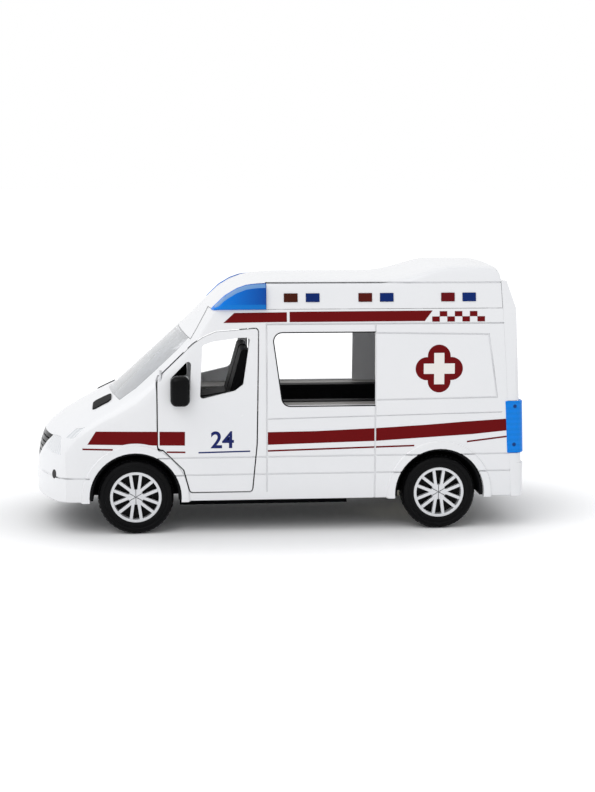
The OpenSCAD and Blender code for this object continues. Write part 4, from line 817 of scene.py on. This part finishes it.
def checkerTree():
    tree, made, given = nodeTree("checkerRow", {"Count": "Int", "Pitch": "Float", "Width": "Float",
                                                "Height": "Float"})
    step = addNode(tree, "ShaderNodeCombineXYZ", {"X": given["Pitch"]})
    row = addNode(tree, "GeometryNodeMeshLine", {"Count": given["Count"], "Offset": step.outputs["Vector"]})
    square = addNode(tree, "GeometryNodeMeshGrid",
                     {"Size X": given["Width"], "Size Y": given["Height"], "Vertices X": 2, "Vertices Y": 2})
    placed = addNode(tree, "GeometryNodeInstanceOnPoints",
                     {"Points": row.outputs["Mesh"], "Instance": square.outputs["Mesh"],
                      "Rotation": (math.radians(90), 0, 0)})
    closeTree(tree, placed.outputs["Instances"], redInk)
    return tree, made


rowTree, rowSockets = checkerTree()
squareWide, squareHigh = checker["square"]
for tag, side in sides.items():
    for number, (z, count, shift) in enumerate(checker["rows"]):
        mesh = growMesh("checker", rowTree, rowSockets,
                        {"Count": count, "Pitch": -checker["pitch"], "Width": squareWide,
                         "Height": squareHigh})
        mesh.transform(Matrix.Translation((checker["start"] + shift, 0, z)))
        layOnSide(mesh, side, checker["proud"])
        addPiece(f"checkerRow{number}{tag.capitalize()}", mesh, "van", redInk)
print("checker printed")


# Badge behind the side window: a dark red four-lobed patch with a plain white plus.
badge = {"centre": (-77, 79.6), "lobe": 5.6, "reach": 6.0, "arm": 7.6, "armHalf": 2.5, "steps": 24,
         "plusProud": 0.1}


def lobedOutline(b):
    cross = (b["reach"] + math.sqrt(2 * b["lobe"] ** 2 - b["reach"] ** 2)) / 2  # where two lobes meet
    sweep = math.atan2(cross, cross - b["reach"])
    points = []
    for quarter in range(4):
        angle = math.radians(90 * quarter)
        cx, cz = b["reach"] * math.cos(angle), b["reach"] * math.sin(angle)
        for i in range(b["steps"]):
            turn = angle + sweep * (2 * i / b["steps"] - 1)
            points.append((b["centre"][0] + cx + b["lobe"] * math.cos(turn),
                           b["centre"][1] + cz + b["lobe"] * math.sin(turn)))
    return points


def plusOutline(b):
    long, short = b["arm"], b["armHalf"]
    corners = []
    for u, v in ((1, 0), (0, 1), (-1, 0), (0, -1)):  # each arm, with the corner that follows it
        corners.append((u * long + v * short, v * long - u * short))
        corners.append((u * long - v * short, v * long + u * short))
        corners.append(((u - v) * short, (u + v) * short))
    return [(b["centre"][0] + x, b["centre"][1] + z) for x, z in corners]


decal("badgePatch", [lobedOutline(badge)], "van", redInk)
decal("badgePlus", [plusOutline(badge)], "van", whiteInk, proud=badge["plusProud"])


# Plain fleet number on the front door, with a rule under it.
doorNumber = {"text": "24", "height": 8.3, "centre": (28.2, 46.2), "fatten": 0.02, "proud": 0.05,
              "rule": ((39.7, 40.0), (14.8, 40.4)), "ruleWidth": 0.7}


def numberMesh(settings):
    curve = bpy.data.curves.new("doorNumber", "FONT")
    curve.body, curve.align_x, curve.align_y = settings["text"], "CENTER", "CENTER"
    curve.offset = settings["fatten"]
    mesh = plainMesh(bpy.data.objects.new("doorNumberSeed", curve))
    heights = [v.co.y for v in mesh.vertices]
    mesh.transform(Matrix.Scale(settings["height"] / (max(heights) - min(heights)), 4))
    middle = [(max(c) + min(c)) / 2 for c in zip(*((v.co.x, v.co.y) for v in mesh.vertices))]
    mesh.transform(Matrix.Translation((-middle[0], -middle[1], 0)))
    return mesh


numberX, numberZ = doorNumber["centre"]
for tag, side in sides.items():
    mesh = numberMesh(doorNumber)
    for vertex in mesh.vertices:
        vertex.co = Vector((numberX - side * vertex.co.x, 0, numberZ + vertex.co.y))
    layOnSide(mesh, side, doorNumber["proud"])
    addPiece("doorNumber" + tag.capitalize(), mesh, "door_front_" + tag, blueInk)
decal("doorRule", [pinLine(*doorNumber["rule"], doorNumber["ruleWidth"])], "door_front_left", blueInk)
print("badge and number printed")


# Floor, light and background: a soft white studio. The floor keeps the cast shadow near the van and goes to
# white further out; the glow is held back in an oval round the van, which also paints a grey shadow pool
# there.
studio = {"floor": "#F3F3F3", "skyColour": "#FAFBFD", "sky": 0.8, "sun": 0.9, "sunFrom": (0.45, 0.4, 0.8),
          "sunWidth": 50, "lift": 0.3, "shadowPoolReach": (0.32, 0.6), "footprint": (0.36, 0.19, 1), "reach": 12}


def seenRay(tree):  # one where the eye, a reflection or a clear piece looks at the background
    ray = addNode(tree, "ShaderNodeLightPath").outputs
    first = addNode(tree, "ShaderNodeMath", {0: ray["Is Camera Ray"], 1: ray["Is Glossy Ray"]},
                    operation="MAXIMUM")
    last = addNode(tree, "ShaderNodeMath", {0: first.outputs["Value"], 1: ray["Is Transmission Ray"]},
                   operation="MAXIMUM")
    return last.outputs["Value"]


def makeFloor(s):
    mesh = bpy.data.meshes.new("studioFloor")
    r = s["reach"]
    mesh.from_pydata([(-r, -r, 0), (r, -r, 0), (r, r, 0), (-r, r, 0)], [], [(0, 1, 2, 3)])
    floor = bpy.data.objects.new("studioFloor", mesh)
    scene.collection.objects.link(floor)
    paper = bpy.data.materials.new("backgroundPaper")
    paper.use_nodes = True
    mesh.materials.append(paper)
    tree = paper.node_tree
    tree.nodes.clear()
    place = addNode(tree, "ShaderNodeTexCoord").outputs["Object"]
    spread = addNode(tree, "ShaderNodeVectorMath", {0: place, 1: s["footprint"]}, operation="DIVIDE")
    away = addNode(tree, "ShaderNodeVectorMath", {0: spread.outputs["Vector"]}, operation="LENGTH")
    low, high = s["shadowPoolReach"]
    # Painted shadow: no glow inside the inner oval round the van, rising to full glow at the outer one.
    lift = addNode(tree, "ShaderNodeMapRange",
                   {"Value": away.outputs["Value"], "From Min": low, "From Max": high, "To Max": s["lift"]},
                   interpolation_type="SMOOTHSTEP")
    seen = addNode(tree, "ShaderNodeMath", {0: lift.outputs["Result"], 1: seenRay(tree)},
                   operation="MULTIPLY")
    matte = addNode(tree, "ShaderNodeBsdfDiffuse", {"Color": linear(s["floor"])})
    glow = addNode(tree, "ShaderNodeEmission", {"Strength": seen.outputs["Value"]})
    both = addNode(tree, "ShaderNodeAddShader", {0: matte.outputs["BSDF"], 1: glow.outputs["Emission"]})
    addNode(tree, "ShaderNodeOutputMaterial", {"Surface": both.outputs["Shader"]})


def makeLight(s):
    world = bpy.data.worlds.new("studio")
    world.use_nodes = True
    scene.world = world
    tree = world.node_tree
    tree.nodes.clear()
    soft = addNode(tree, "ShaderNodeBackground", {"Color": linear(s["skyColour"]), "Strength": s["sky"]})
    white = addNode(tree, "ShaderNodeBackground", {"Color": (1, 1, 1, 1), "Strength": 1})
    mixed = addNode(tree, "ShaderNodeMixShader",
                    {"Fac": seenRay(tree), 1: soft.outputs["Background"], 2: white.outputs["Background"]})
    addNode(tree, "ShaderNodeOutputWorld", {"Surface": mixed.outputs["Shader"]})
    lamp = bpy.data.lights.new("softSun", "SUN")
    lamp.energy, lamp.angle = s["sun"], math.radians(s["sunWidth"])
    sun = bpy.data.objects.new("softSun", lamp)
    sun.rotation_mode = "QUATERNION"
    sun.rotation_quaternion = (-Vector(s["sunFrom"])).to_track_quat("-Z", "Y")
    scene.collection.objects.link(sun)


makeFloor(studio)
makeLight(studio)
print("studio lit")
